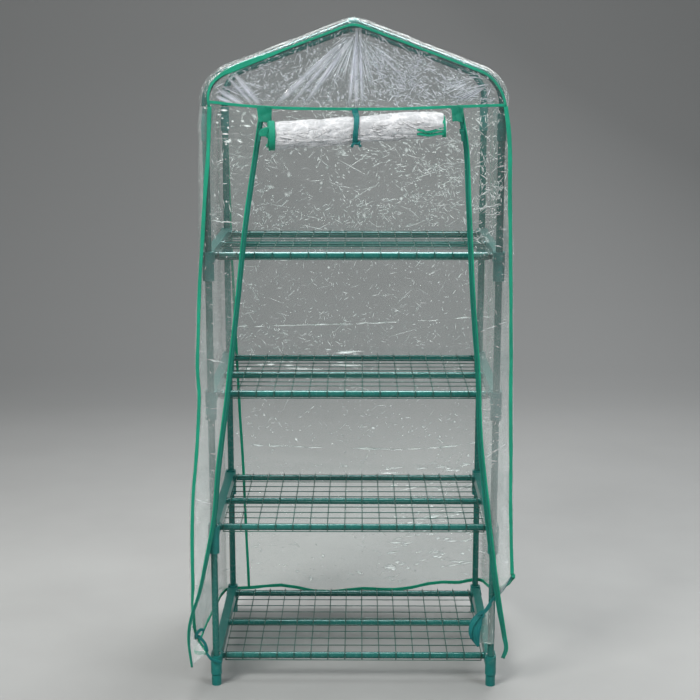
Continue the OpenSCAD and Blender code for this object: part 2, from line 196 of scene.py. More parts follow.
def tangents(p):
    return unit(np.gradient(p, axis=0))


def sweep(path, side, profile):
    """Vertices, faces and uvs of a profile [(a, b)] carried along path: a runs along side,
    b along the normal."""
    path = np.asarray(path, float)
    t = tangents(path)
    side = np.broadcast_to(np.asarray(side, float), path.shape)
    side = unit(side - (side * t).sum(1, keepdims=True) * t)
    normal = np.cross(t, side)
    prof = np.asarray(profile, float)
    if prof.ndim == 2:
        prof = np.broadcast_to(prof, (len(path),) + prof.shape)
    verts = path[:, None] + prof[..., :1] * side[:, None] + prof[..., 1:] * normal[:, None]
    n = prof.shape[1]
    faces = grid_faces(len(path), n, close=True)
    faces.append(tuple(range(n - 1, -1, -1)))
    base = (len(path) - 1) * n
    faces.append(tuple(range(base, base + n)))
    s = arc_length(path) * MM
    uv = np.stack([np.repeat(s[:, None], n, 1), prof[..., 0] * MM], -1)
    return verts.reshape(-1, 3), faces, uv.reshape(-1, 2)


def ribbon_profile(width, thick):
    """A flat tape's cross-section, a little thinner along its middle."""
    top = [(-1, 0), (-0.93, 0.75), (-0.7, 1), (-0.25, 0.86), (0.25, 0.86), (0.7, 1), (0.93, 0.75),
           (1, 0)]
    outline = top + [(a, -b) for a, b in top[-2:0:-1]]
    return [(a * width / 2, b * thick / 2) for a, b in outline]


def circle_profile(r, n=8):
    return [(r * math.cos(2 * math.pi * k / n), r * math.sin(2 * math.pi * k / n))
            for k in range(n)]


def merge(parts):
    verts, faces, uvs, base = [], [], [], 0
    for v, f, u in parts:
        verts.append(v)
        uvs.append(u)
        faces += [tuple(i + base for i in face) for face in f]
        base += len(v)
    return np.vstack(verts), faces, np.vstack(uvs)


def wobble(path, side, amp, scale, seed):
    """A sewn edge is never quite straight: shifts a path sideways by a little noise, but not
    at its ends."""
    n = (fbm(path * MM, scale, seed, 2) - 0.5) * 2 * amp
    s = arc_length(path)
    fade = np.minimum(1, np.minimum(s, s[-1] - s) / 40)
    return path + side * (n * fade)[:, None]


def spread_along(path, values):
    """Values given at even steps along a path, for each of its points."""
    return np.interp(np.linspace(0, 1, len(path)), np.linspace(0, 1, len(values)), values)


def thicken(ob, mm, offset=0.0):
    wall = ob.modifiers.new("thickness", "SOLIDIFY")
    wall.thickness = mm * MM
    wall.offset = offset


# ---- materials

class Nodes:
    """Short-hand for building a node tree."""

    def __init__(self, name):
        self.mat = bpy.data.materials.new(name)
        self.mat.use_nodes = True
        self.tree = self.mat.node_tree
        self.tree.nodes.clear()
        self.out = self.tree.nodes.new("ShaderNodeOutputMaterial")

    def add(self, kind, props=None, **inputs):
        n = self.tree.nodes.new("ShaderNode" + kind)
        for k, v in (props or {}).items():
            setattr(n, k, v)
        for k, v in inputs.items():
            key = int(k[1:]) if k[0] == "i" and k[1:].isdigit() else k.replace("_", " ")
            self.put(n.inputs[key], v)
        return n

    def put(self, socket, v):
        if isinstance(v, bpy.types.NodeSocket):
            self.tree.links.new(v, socket)
        elif isinstance(v, bpy.types.Node):
            self.tree.links.new(v.outputs[0], socket)
        else:
            socket.default_value = v

    def math(self, op, a, b=0.0, clamp=False):
        return self.add("Math", {"operation": op, "use_clamp": clamp}, i0=a, i1=b).outputs[0]

    def mul(self, a, b):
        return self.math("MULTIPLY", a, b)

    def plus(self, a, b, clamp=False):
        return self.math("ADD", a, b, clamp)

    def waves(self, value, length):
        """A sine that repeats every length metres of value."""
        return self.math("SINE", self.mul(value, 2 * math.pi / length))

    def surface(self, **inputs):
        """The material with a principled surface; underscores in input names stand for spaces."""
        return self.done(self.add("BsdfPrincipled", **inputs))

    def done(self, shader):
        self.put(self.out.inputs[0], shader)
        return self.mat

    def noise(self, vec, scale, detail=2.0, rough=0.5, distortion=0.0):
        return self.add("TexNoise", Vector=vec, Scale=scale, Detail=detail,
                        Roughness=rough, Distortion=distortion).outputs[0]

    def ramp(self, fac, lo, hi, a=0.0, b=1.0):
        return self.add("MapRange", {"clamp": True}, Value=fac, From_Min=lo, From_Max=hi,
                        To_Min=a, To_Max=b).outputs[0]

    def mix(self, fac, a, b):
        n = self.add("Mix", {"data_type": "RGBA"})
        self.put(n.inputs[0], fac)
        self.put(n.inputs[6], a)
        self.put(n.inputs[7], b)
        return n.outputs[2]

    def bump(self, height, strength, distance):
        return self.add("Bump", Strength=strength, Distance=distance,
                        Height=height).outputs[0]


def rgb(r, g, b):
    """sRGB 0..255 to the linear colour a node takes."""
    def lin(c):
        c /= 255
        return c / 12.92 if c <= 0.04045 else ((c + 0.055) / 1.055) ** 2.4
    return (lin(r), lin(g), lin(b), 1.0)


def coated_metal(name, dark, light, rough=0.24, coat=0.15):
    n = Nodes(name)
    co = n.add("TexCoord").outputs["Object"]
    broad = n.noise(co, 9, 4, 0.55)
    peel = n.noise(co, 900, 2, 0.5)
    fine = n.noise(co, 2600, 1, 0.5)
    scuff = n.noise(co, 120, 6, 0.7, 0.6)
    worn = n.ramp(scuff, 0.66, 0.74)
    col = n.mix(n.ramp(broad, 0.2, 0.85), dark, light)
    col = n.mix(n.mul(worn, 0.1), col, rgb(70, 140, 128))
    point = n.add("NewGeometry").outputs["Pointiness"]
    edge = n.ramp(point, 0.53, 0.6)
    col = n.mix(n.mul(edge, 0.2), col, rgb(60, 140, 126))
    h = n.plus(n.mul(peel, 0.8), n.mul(fine, 0.2))
    return n.surface(Base_Color=col, Roughness=n.ramp(scuff, 0.3, 0.8, rough - 0.04, rough + 0.1),
                     Normal=n.bump(h, 0.12, 0.00018), Coat_Weight=coat, Coat_Roughness=0.18)


def moulded(name, dark, light):
    n = Nodes(name)
    co = n.add("TexCoord").outputs["Object"]
    grain = n.noise(co, 1500, 2, 0.6)
    flow = n.noise(co, 30, 4, 0.6, 0.4)
    dust = n.noise(co, 70, 5, 0.7)
    col = n.mix(n.ramp(flow, 0.3, 0.7), dark, light)
    col = n.mix(n.mul(n.ramp(dust, 0.55, 0.8), 0.15), col, rgb(150, 180, 165))
    return n.surface(Base_Color=col, Roughness=n.ramp(flow, 0.2, 0.8, 0.42, 0.58),
                     Normal=n.bump(grain, 0.4, 0.0005), Specular_IOR_Level=0.45)


def bare_metal(name):
    n = Nodes(name)
    co = n.add("TexCoord").outputs["Object"]
    brush = n.noise(co, 800, 3, 0.6)
    spots = n.noise(co, 60, 4, 0.6)
    col = n.mix(n.ramp(spots, 0.4, 0.7), rgb(150, 155, 152), rgb(190, 194, 190))
    return n.surface(Base_Color=col, Metallic=1.0, Roughness=n.ramp(brush, 0.3, 0.7, 0.25, 0.45),
                     Normal=n.bump(brush, 0.2, 0.0003))


def woven(name, dark, light, width_mm, coil=False):
    """Sewn tape: fine weave, a stitch line near each edge, uneven dye, and a zip's coil if asked.
    UV is metres along and across."""
    n = Nodes(name)
    uv = n.add("UVMap").outputs[0]
    xyz = n.add("SeparateXYZ", Vector=uv)
    u, v = xyz.outputs[0], xyz.outputs[1]
    warp = n.waves(u, 0.0011)
    weft = n.waves(v, 0.0009)
    weave = n.mul(warp, weft)
    co = n.add("TexCoord").outputs["Object"]
    dye = n.noise(co, 14, 5, 0.6)
    grime = n.noise(co, 55, 5, 0.7)
    col = n.mix(n.ramp(dye, 0.3, 0.7), dark, light)
    col = n.mix(n.ramp(weave, -1, 1, 0.0, 0.22), col, dark)
    col = n.mix(n.mul(n.ramp(grime, 0.58, 0.8), 0.18), col, rgb(120, 190, 160))
    height = n.mul(weave, 0.35)
    dash = n.ramp(n.waves(u, 0.0034), -0.35, 0.1)
    off = n.math("ABSOLUTE", n.math("SUBTRACT", n.math("ABSOLUTE", v), width_mm * MM * 0.31))
    line = n.mul(n.ramp(off, 0.0003, 0.0007, 1, 0), dash)
    groove = n.ramp(off, 0.0004, 0.0013, 1, 0)
    col = n.mix(n.mul(line, 0.6), col, rgb(20, 170, 136))
    # painted shade: the tape's colour darkens along the groove beside each stitch line
    col = n.mix(n.mul(groove, 0.25), col, dark)
    height = n.plus(height, n.math("SUBTRACT", n.mul(line, 1.6), n.mul(groove, 1.2)))
    if coil:
        mid = n.math("ABSOLUTE", v)
        teeth = n.mul(n.ramp(mid, 0.0016, 0.0024, 1, 0), n.ramp(n.waves(u, 0.0022), -0.2, 0.5))
        col = n.mix(n.mul(teeth, 0.55), col, rgb(40, 150, 125))
        height = n.plus(height, n.mul(teeth, 3.0))
    crease = n.noise(co, 90, 3, 0.6, 0.5)
    height = n.plus(height, n.mul(crease, 2.0))
    return n.surface(Base_Color=col, Roughness=0.62, Normal=n.bump(height, 0.6, 0.0004),
                     Sheen_Weight=0.04, Sheen_Roughness=0.4, Specular_IOR_Level=0.35)


def streaks(n, uv, angle, long_scale, short_scale, cut, seed):
    """Thin straight glints in one direction: noise drawn out along it, only its crests kept."""
    place = n.add("Mapping", {"vector_type": "POINT"}, Vector=uv,
                  Location=(seed * 3.7, seed * 1.9, 0), Rotation=(0, 0, angle),
                  Scale=(long_scale, short_scale, 1)).outputs[0]
    return n.ramp(n.noise(place, 1.0, 1.5, 0.5, 0.35), cut, cut + 0.05)


def film_material(name, haze=0.012, glint=0.6, tint=(0.955, 0.972, 0.966, 1), density=0.0,
                  milky=0.0, veil=(0.95, 0.95, 0.955), bump=0.0006, gloss=0.06, graze=0.72):
    """Clear vinyl: see-through and glossy, with painted glints: its creases and fine streaks are
    made white by a diffuse cover that also glows. The mesh says where it is creased (painted
    glint), shaded (painted shade on the dark side of a fold) and hazy."""
    n = Nodes(name)
    uv = n.add("UVMap").outputs[0]
    crease, shade, thick = (n.add("Attribute", {"attribute_name": key}).outputs["Fac"]
                            for key in ("crease", "shade", "haze"))
    where = n.noise(uv, 5.0, 3, 0.6, 0.8)
    layers = None
    for k, direction in enumerate([(0.45, 44, 260, 0.67), (-0.62, 46, 240, 0.67),
                                   (1.15, 40, 270, 0.68), (-1.25, 44, 250, 0.68)]):
        patches = n.ramp(n.noise(uv, 7.0 + k, 2, 0.5), 0.46, 0.60)
        layer = n.mul(streaks(n, uv, *direction, k + 1), patches)
        layers = layer if layers is None else n.math("MAXIMUM", layers, layer)
    painted_glint = n.math("MAXIMUM", crease, n.mul(n.mul(layers, density), glint), True)
    soft = n.noise(uv, 38, 4, 0.6, 0.5)
    tiny = n.noise(uv, 240, 3, 0.6)
    height = n.plus(n.mul(soft, 3.0), n.mul(tiny, 0.4))
    height = n.plus(height, n.mul(painted_glint, 1.2))
    normal = n.bump(height, 0.6, bump)
    glossy = n.add("BsdfGlossy", Color=(1, 1, 1, 1),
                   Roughness=n.ramp(soft, 0.3, 0.7, gloss, gloss + 0.12), Normal=normal)
    # painted shade: where the mesh marks the dark side of a fold, the see-through colour darkens
    dark = n.mix(n.mul(shade, 0.6), tint, (0.30, 0.34, 0.34, 1))
    clear = n.add("BsdfTransparent", Color=dark)
    fres = n.add("Fresnel", IOR=1.45).outputs[0]
    body = n.add("MixShader", i0=n.ramp(fres, 0.03, 1.0, 0.028, graze), i1=clear, i2=glossy)
    back = tuple(0.42 * c for c in veil)
    milk = n.add("AddShader", i0=n.add("BsdfDiffuse", Color=veil + (1,), Normal=normal),
                 i1=n.add("BsdfTranslucent", Color=back + (1,), Normal=normal))
    # painted glint: a crease glows by emission, brighter than plain matt white would be
    painted_glint_glow = n.add("Emission", Color=veil + (1,), Strength=n.mul(crease, 0.22))
    milk = n.add("AddShader", i0=milk, i1=painted_glint_glow)
    cloud = n.mul(n.ramp(where, 0.2, 0.8, 0.6, 1.4), n.plus(thick, haze))
    cover = n.plus(n.mul(painted_glint, 0.9), n.plus(cloud, milky), True)
    return n.done(n.add("MixShader", i0=cover, i1=body, i2=milk))


M_TUBE = coated_metal("green_powder_coat", rgb(0, 76, 72), rgb(0, 92, 87))
M_SHEET = coated_metal("green_powder_coat_sheet", rgb(0, 82, 79), rgb(0, 102, 98), 0.32, 0.1)
M_WIRE = coated_metal("green_coated_wire", rgb(10, 54, 47), rgb(24, 78, 68), 0.32, 0.1)
M_MOULD = moulded("green_moulded_plastic", rgb(0, 96, 92), rgb(4, 118, 112))
M_RIVET = bare_metal("zinc_rivet")
M_BIND = woven("green_binding", rgb(0, 126, 100), rgb(0, 158, 124), 9)
# painted light: a lighter copy of the binding for the rear corners and the hem, which lie behind
# the film
M_BIND_PAINTED_LIGHTER = woven("green_binding_painted_lighter", rgb(0, 142, 112), rgb(4, 172, 136), 7)
M_ZIP = woven("green_zip_tape", rgb(0, 98, 86), rgb(2, 122, 106), 12, coil=True)
M_PATCH = woven("green_patch_cloth", rgb(0, 104, 84), rgb(0, 136, 110), 9)
M_TIE = woven("green_tie_tape", rgb(0, 90, 92), rgb(0, 118, 118), 10)
M_SLIDER = coated_metal("painted_slider", rgb(0, 100, 84), rgb(10, 126, 106), 0.3, 0.3)
M_FILM = film_material("clear_film", density=0.3)
# veil: the lilac grey of the gable's painted glints and sheen, which its haze shares
M_FILM_GABLE = film_material("clear_film_gable", haze=0.02, density=0.4,
                             veil=(0.84, 0.82, 0.88))
M_FILM_ROOF = film_material("clear_film_roof", density=0.3, bump=0.004, graze=0.09)
M_FLAP = film_material("folded_film", haze=0.03, milky=0.07, tint=(0.80, 0.88, 0.86, 1))
M_ROLL = film_material("rolled_film", haze=0.12, glint=0.5, density=0.2, milky=0.36,
                       tint=(0.62, 0.66, 0.68, 1), veil=(0.69, 0.69, 0.70), bump=0.006,
                       gloss=0.1)

# ---- frame pieces

# finish and edge radius in mm of the CAD pieces, by the ends of their names
FINISH = {"post": (M_TUBE, 0), "bow": (M_TUBE, 0), "ridge_bar": (M_TUBE, 0), "rail": (M_TUBE, 0),
          "side_channels": (M_SHEET, 0.5), "brackets": (M_MOULD, 0.8),
          "ridge_bracket": (M_MOULD, 0.8), "foot": (M_MOULD, 1.0), "couplers": (M_MOULD, 0.8),
          "rivets": (M_RIVET, 0.4), "zip_slider": (M_SLIDER, 0.5), "pull_tab": (M_SLIDER, 0.4)}

for name, ob in frame["nodes"].items():
    mat, radius = next((v for k, v in FINISH.items() if name.endswith(k)), (None, 0))
    if mat and not ob.material_slots:
        ob.data.materials.append(mat)
    if mat:
        for slot in ob.material_slots:
            slot.material = mat
    ob.data.polygons.foreach_set("use_smooth", [True] * len(ob.data.polygons))
    if radius:
        bev = ob.modifiers.new("soft_edge", "BEVEL")
        bev.width = radius * MM
        bev.segments = 2
        bev.limit_method = "ANGLE"
        bev.angle_limit = math.radians(50)
        bev.use_clamp_overlap = True
    split = ob.modifiers.new("crisp", "EDGE_SPLIT")
    split.split_angle = math.radians(32)


def node_box(name):
    lo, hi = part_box(name)
    return np.array(lo) / MM, np.array(hi) / MM


# wire mesh: round wires, the long ones lying across the others, both edges turned down
WIRE_R, WIRE_BEND, WIRES = 1.2, 3.5, 16
for tier in range(1, 5):
    lo, hi = node_box("shelf_%d_mesh" % tier)
    z_wire = hi[2] - WIRE_R
    z_lip = lo[2] + WIRE_R
    y_lip = hi[1] - WIRE_R
    parts = []
    for x in np.linspace(lo[0] + WIRE_R, hi[0] - WIRE_R, WIRES):
        half = [(-y_lip, z_lip - WIRE_R)]
        half += [(-y_lip + WIRE_BEND * (1 - math.cos(a)), z_wire - WIRE_BEND * (1 - math.sin(a)))
                 for a in np.linspace(0, math.pi / 2, 5)]
        line = half + [(y, z_wire) for y in (-120, 0, 120)] + [(-y, z) for y, z in half[::-1]]
        parts.append(sweep([(x, y, z) for y, z in line], (1, 0, 0), circle_profile(WIRE_R)))
    level = [(-y_lip + k * y_lip / 5, z_wire + 2 * WIRE_R - 0.3) for k in range(1, 10)]
    level += [(s * (y_lip + 1.6 * WIRE_R), z_lip) for s in (-1, 1)]
    for y, z in level:
        path = resample([(lo[0], y, z), (hi[0], y, z)], 6)
        parts.append(sweep(path, (0, 1, 0), circle_profile(WIRE_R)))
    v, f, u = merge(parts)
    ob = make_mesh("shelf_%d_wires" % tier, v, f, M_WIRE, u)
    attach(ob, "shelf_%d" % tier)
    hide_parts("shelf_%d_mesh" % tier)

# ---- cover outline

# the bow's centre line: half width and half depth between the posts, then its gable
PX, PY = 330.0, 233.0
SLOPE = math.radians(20.6)
APEX_Z = 1558.0
SHOULDER_R = 78.0
CORNER_Z = APEX_Z - PX * math.tan(SLOPE)
TURN = math.pi / 2 - SLOPE
TANGENT = SHOULDER_R * math.tan(TURN / 2)
# the cover's front and rear faces, and the height where wall meets roof
FRONT, REAR = -248.3, 248.3
WALL_TOP = 1376.0

# corner seams on the front: height and distance from the centre, bottom to top
SEAM_L = np.array([(87, 350), (120, 371), (153, 383), (220, 381), (346, 381), (469, 376),
                   (590, 363), (709, 354), (803, 358), (943, 351), (1170, 334),
                   (1280, 323), (1347, 320), (1376, 318.5)])
SEAM_R = np.array([(172, 297), (190, 310), (221, 331), (246, 352), (285, 375), (372, 371),
                   (470, 367), (590, 365), (710, 362), (943, 357), (1170, 350),
                   (1280, 347), (1347, 341), (1376, 336)])
# door edges on the front: x and height, top to bottom
ZIP_L = np.array([(-202, 1364), (-219, 1259), (-244, 1102), (-262, 943), (-273, 850),
                  (-282, 780), (-294, 685), (-314, 541), (-327, 419), (-346, 321),
                  (-362, 246), (-384, 179), (-390, 129), (-383, 62)], float)
ZIP_R = np.array([(236, 1364), (250, 1280), (259, 1125), (271, 943), (284, 780),
                  (293, 615), (309, 469), (324, 347), (341, 230), (357, 140), (363, 104),
                  (356, 80)], float)


def seam_x(table, z):
    return np.interp(z, table[:, 0], table[:, 1])


def bow_line(n):
    """Points and outward normals of the bow's centre line in the x-z plane, left eave to right."""
    half = [(PX, z, 1, 0) for z in np.linspace(WALL_TOP, CORNER_Z - TANGENT, 5)[:-1]]
    for a in np.linspace(0, TURN, 13):
        half.append((PX - SHOULDER_R + SHOULDER_R * math.cos(a),
                     CORNER_Z - TANGENT + SHOULDER_R * math.sin(a), math.cos(a), math.sin(a)))
    x0, z0 = half[-1][:2]
    for x in x0 * (1 - np.linspace(0, 1, 24)[1:]):
        # the peak is rounded off over its last 26 mm
        blend = max(0.0, 1 - x / 26) ** 2
        a = TURN + (math.pi / 2 - TURN) * blend
        z = z0 + (x0 - x) * math.tan(SLOPE) - 3.0 * blend
        half.append((x, z, math.cos(a), math.sin(a)))
    half = np.array(half)
    line = np.vstack([half[:-1] * (-1, 1, -1, 1), half[::-1]])
    s = arc_length(line[:, :2])
    t = np.linspace(0, s[-1], n)
    line = np.stack([np.interp(t, s, line[:, k]) for k in range(4)], 1)
    return line[:, :2], unit(line[:, 2:])


def strokes(rng, count, s_range, t_range, size, length, angles, spread=0.3, curl=0.06, points=5,
            group=1, gather=13):
    """Short marks scattered over part of a sheet, as sheet fractions (count, points, 2).
    size is the sheet's width and height in mm, length a range in mm with short ones commoner;
    marks of one group lie within gather mm of each other and share a direction."""
    heads = -(-count // group)
    s = rng.uniform(s_range[0], s_range[1], heads)
    t = rng.uniform(t_range[0], t_range[1], heads)
    a = rng.choice(angles, heads)
    s, t, a = (np.repeat(q, group)[:count] for q in (s, t, a))
    if group > 1:
        s = s + rng.normal(0, gather / size[0], count)
        t = t + rng.normal(0, gather / size[1], count)
    a = (a + rng.normal(0, spread, count))[:, None]
    run = (length[0] * (length[1] / length[0]) ** (rng.rand(count) ** 1.7))[:, None]
    bend = rng.normal(0, curl, count)[:, None] * run
    u = np.linspace(-0.5, 0.5, points)[None]
    along, off = run * u, bend * (2 * u ** 2 - 0.25)
    dx = along * np.cos(a) - off * np.sin(a)
    dz = along * np.sin(a) + off * np.cos(a)
    return np.stack([s[:, None] + dx / size[0], t[:, None] - dz / size[1]], -1)


def ink(rng, paths, width=(3.2, 6.0), strength=(0.5, 1.0), shade=(0.0, 0.45), band=0.15):
    """Gives each path a width in mm, the whiteness of its painted glint and the darkness of its
    painted shade; band 1 fills it from side to side."""
    n = len(paths)
    return paths, rng.uniform(*width, n), rng.uniform(*strength, n), rng.uniform(*shade, n), band


def scatter(rng, size, rows):
    """Inked strokes for each row: count, s range, t range, length, angles, what ink takes, and
    what strokes takes besides. s runs along a sheet and t down it, both 0 to 1."""
    return [ink(rng, strokes(rng, count, s, t, size, length, angles, **more), *pen)
            for count, s, t, length, angles, pen, more in rows]


# a mark's four edge lines, across its width
ACROSS = np.array([-1.0, -0.25, 0.3, 1.0])
MARK_LIFT = 0.5
FILM_MM = 0.4


def draw(grid, normal, uv, marks):
    """Painted glints and painted shade as narrow strips lying on a sheet along its creases: a white
    line with a dark flank, thin at both ends."""
    rows, cols = grid.shape[:2]

    def pick(field, i, j, a, b):
        return ((1 - a) * ((1 - b) * field[i, j] + b * field[i, j + 1])
                + a * ((1 - b) * field[i + 1, j] + b * field[i + 1, j + 1]))

    verts, faces, uvs, painted_glint, dark, base = [], [], [], [], [], 0
    for paths, width, strength, shade, band in marks:
        inside = ((paths > 0.004) & (paths < 0.996)).all((1, 2))
        paths, width, strength, shade = (q[inside] for q in (paths, width, strength, shade))
        count, m = paths.shape[:2]
        if not count:
            continue
        col, row = paths[..., 0] * (cols - 1), paths[..., 1] * (rows - 1)
        i, j = row.astype(int), col.astype(int)
        a, b = (row - i)[..., None], (col - j)[..., None]
        p, nrm, q = (pick(f, i, j, a, b) for f in (grid, normal, uv))
        nrm = unit(nrm)
        side = unit(np.cross(unit(np.gradient(p, axis=1)), nrm))
        taper = np.sin(np.pi * np.linspace(0.05, 0.95, m)) ** (0.35 if band > 0.92 else 1.1)
        off = ACROSS[None, None] * width[:, None, None] / 2 * taper[None, :, None]
        v = p[:, :, None] + side[:, :, None] * off[..., None] + nrm[:, :, None] * MARK_LIFT
        verts.append(v.reshape(-1, 3))
        uvs.append(np.repeat(q[:, :, None], 4, 2).reshape(-1, 2))
        fade = np.broadcast_to(taper, (count, m))
        painted_glint.append((fade[..., None] * strength[:, None, None] * (0, 1, band, 0)).ravel())
        dark.append((fade[..., None] * shade[:, None, None] * (0, 0, 1, 0)).ravel())
        one = np.array(grid_faces(m, 4))
        each = base + 4 * m * np.arange(count)[:, None, None]
        faces += (one[None] + each).reshape(-1, 4).tolist()
        base += count * m * 4
    return np.vstack(verts), faces, np.vstack(uvs), np.concatenate(painted_glint), np.concatenate(dark)


def marked_sheet(name, grid, normal, uv, mat, marks, crease=0.0, haze=0.0, close=False):
    """A sheet with its marks, and the values that its film material reads."""
    n = grid[..., 0].size
    v, f, u, painted_glint, dark = draw(grid, normal, uv, marks)
    faces = grid_faces(*grid.shape[:2], close=close) + [tuple(k + n for k in q) for q in f]
    return make_mesh(name, np.vstack([grid.reshape(-1, 3), v]), faces, mat,
                     np.vstack([uv.reshape(-1, 2), u]),
                     {"crease": np.concatenate([np.zeros(n) + crease, painted_glint]),
                      "shade": np.concatenate([np.zeros(n), dark]),
                      "haze": np.concatenate([np.zeros(n) + haze, np.zeros(len(v))])})


def edge_fade(rows, cols, shares):
    """1 inside, 0 on the edges that are held: top, bottom, left and right, each over its share
    of the sheet."""
    r = np.linspace(0, 1, rows)[:, None]
    c = np.linspace(0, 1, cols)[None, :]
    out = np.ones((rows, cols))
    for share, d in zip(shares, (r, 1 - r, c, 1 - c)):
        if share:
            out = out * np.clip(d / share, 0, 1) ** 0.7
    return out


def cover(ob, slot, *nodes, flattens=False):
    """Cover pieces ride on the front frame. Those that run front to rear get a mesh of their own.
    """
    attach(ob, "front_frame")
    if flattens:
        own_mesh(ob)
    if nodes:
        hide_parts(*nodes)


def film_sheet(name, grid, uv, mat, wrinkle, seed, marks, *nodes, outward=0.3, fade=(0, 0, 0, 0),
               sign=1.0, haze=0.0, flattens=False):
    """A film over grid (rows x cols x 3, mm), pushed along its normal by soft billows and folds
    as high as wrinkle says. Returns where its points went."""
    flat_uv = uv.reshape(-1, 2)
    p3 = np.concatenate([flat_uv, np.full((len(flat_uv), 1), 0.37 * seed)], 1)
    normal = unit(np.cross(np.gradient(grid, axis=1), np.gradient(grid, axis=0))) * sign
    h = ((fbm(p3, 3.2, seed, 3) - 0.5 + outward) * wrinkle[0]
         + (fbm(p3 * (1.6, 1.0, 1), 11, seed + 5, 2) - 0.5) * wrinkle[1]
         + ridge(p3, 7.5, seed + 9, 5) * wrinkle[2] + ridge(p3, 19, seed + 13, 4) * wrinkle[3])
    h = h.reshape(grid.shape[:2]) * edge_fade(*grid.shape[:2], fade)
    verts = grid + normal * h[..., None]
    ob = marked_sheet(name, verts, normal, uv, mat, marks, haze=haze)
    thicken(ob, FILM_MM)
    cover(ob, "film", *nodes, flattens=flattens)
    return verts


# ---- wall film

# heights of the hem at the cover's front left, front right, rear left and rear right corners
HEM = np.array([87.0, 285.0, 56.0, 84.0])
# how far from the front and the rear the film starts to turn its corners
TURN_F, TURN_R = 20, 18


def wall_ring(t):
    """Plan outline of the wall film at t (0 eave, 1 hem), front left seam round the back to
    front right seam, as x, y, z points."""
    z_fl, z_fr, z_bk, z_br = WALL_TOP + (HEM - WALL_TOP) * t
    xl = seam_x(SEAM_L, z_fl)
    xr = seam_x(SEAM_R, z_fr)
    # half the width of the sides, which swell a little just below the eave
    base = 342.6 + 5.4 * min(1, t / 0.22)
    side_l = max(xl + 5, base)
    side_r = max(xr + 5, base)
    # the left side flares out near its hem
    flare_z = 153
    if z_fl < flare_z:
        side_l = max(side_l, 388 - 0.16 * (flare_z - z_fl))
    back = base + 1.0
    pts = []

    def corner(x0, y0, x1, y1, z0, z1, turn_first):
        for k in range(7):
            a = k / 6 * math.pi / 2
            rise, run = math.sin(a), 1 - math.cos(a)
            if not turn_first:
                rise, run = run, rise
            pts.append((x0 + (x1 - x0) * rise, y0 + (y1 - y0) * run, z0 + (z1 - z0) * k / 6))

    def flank(sign, side, y0, y1, height):
        for y in np.linspace(y0, y1, 14)[1:-1]:
            s = (y - FRONT) / (REAR - FRONT)
            belly = 5 * math.sin(math.pi * s) * min(1, 2 * t)
            pts.append((sign * (side + (back - side) * s ** 0.8 + belly), y, height(s)))

    y_f, y_r = FRONT + TURN_F, REAR - TURN_R
    corner(-xl, FRONT, -side_l, y_f, z_fl, z_fl - 3 * t, True)
    flank(-1, side_l, y_f, y_r, lambda s: z_fl + (z_bk - z_fl) * s)
    corner(-back, y_r, -back + TURN_R, REAR, z_bk + (z_fl - z_bk) * 0.03, z_bk, False)
    for x in np.linspace(-back + TURN_R, back - TURN_R, 16)[1:-1]:
        s = (x + back) / (2 * back)
        wave = t ** 6 * (7 * math.sin(s * 9.0 + 0.6) - 5 * math.sin(s * 21))
        z = z_bk + (z_br - z_bk) * max(0.0, (s - 0.72) / 0.28) ** 1.5 + wave
        pts.append((x, REAR + 3.0 * math.sin(math.pi * s), z))
    corner(back - TURN_R, REAR, back, y_r, z_br, z_br, True)
    flank(1, side_r, y_r, y_f, lambda s: z_br + (z_fr - z_br) * (1 - s) ** 1.5)
    corner(side_r, y_f, xr, FRONT, z_fr - 10 * t, z_fr, False)
    return np.array(pts)


ROWS, COLS = 262, 340
ring = np.stack([resample(wall_ring(t), COLS) for t in np.linspace(0, 1, ROWS)])
# width and height of the sheet in mm, laid out flat
WALL = (1720.0, 1310.0)
share = np.linspace(0, 1, COLS)[None, :].repeat(ROWS, 0)
v_coord = ring[..., 2] * MM
wall_uv = np.stack([share * WALL[0] * MM, v_coord], -1)
rng = np.random.RandomState(21)
ANY = np.arange(8) * math.pi / 8
LEVEL = (0.0, 0.08, -0.1, 0.2)
SLANT = (0.15, 0.5, -0.45, -0.8, 0.95, -1.15, 0.02)
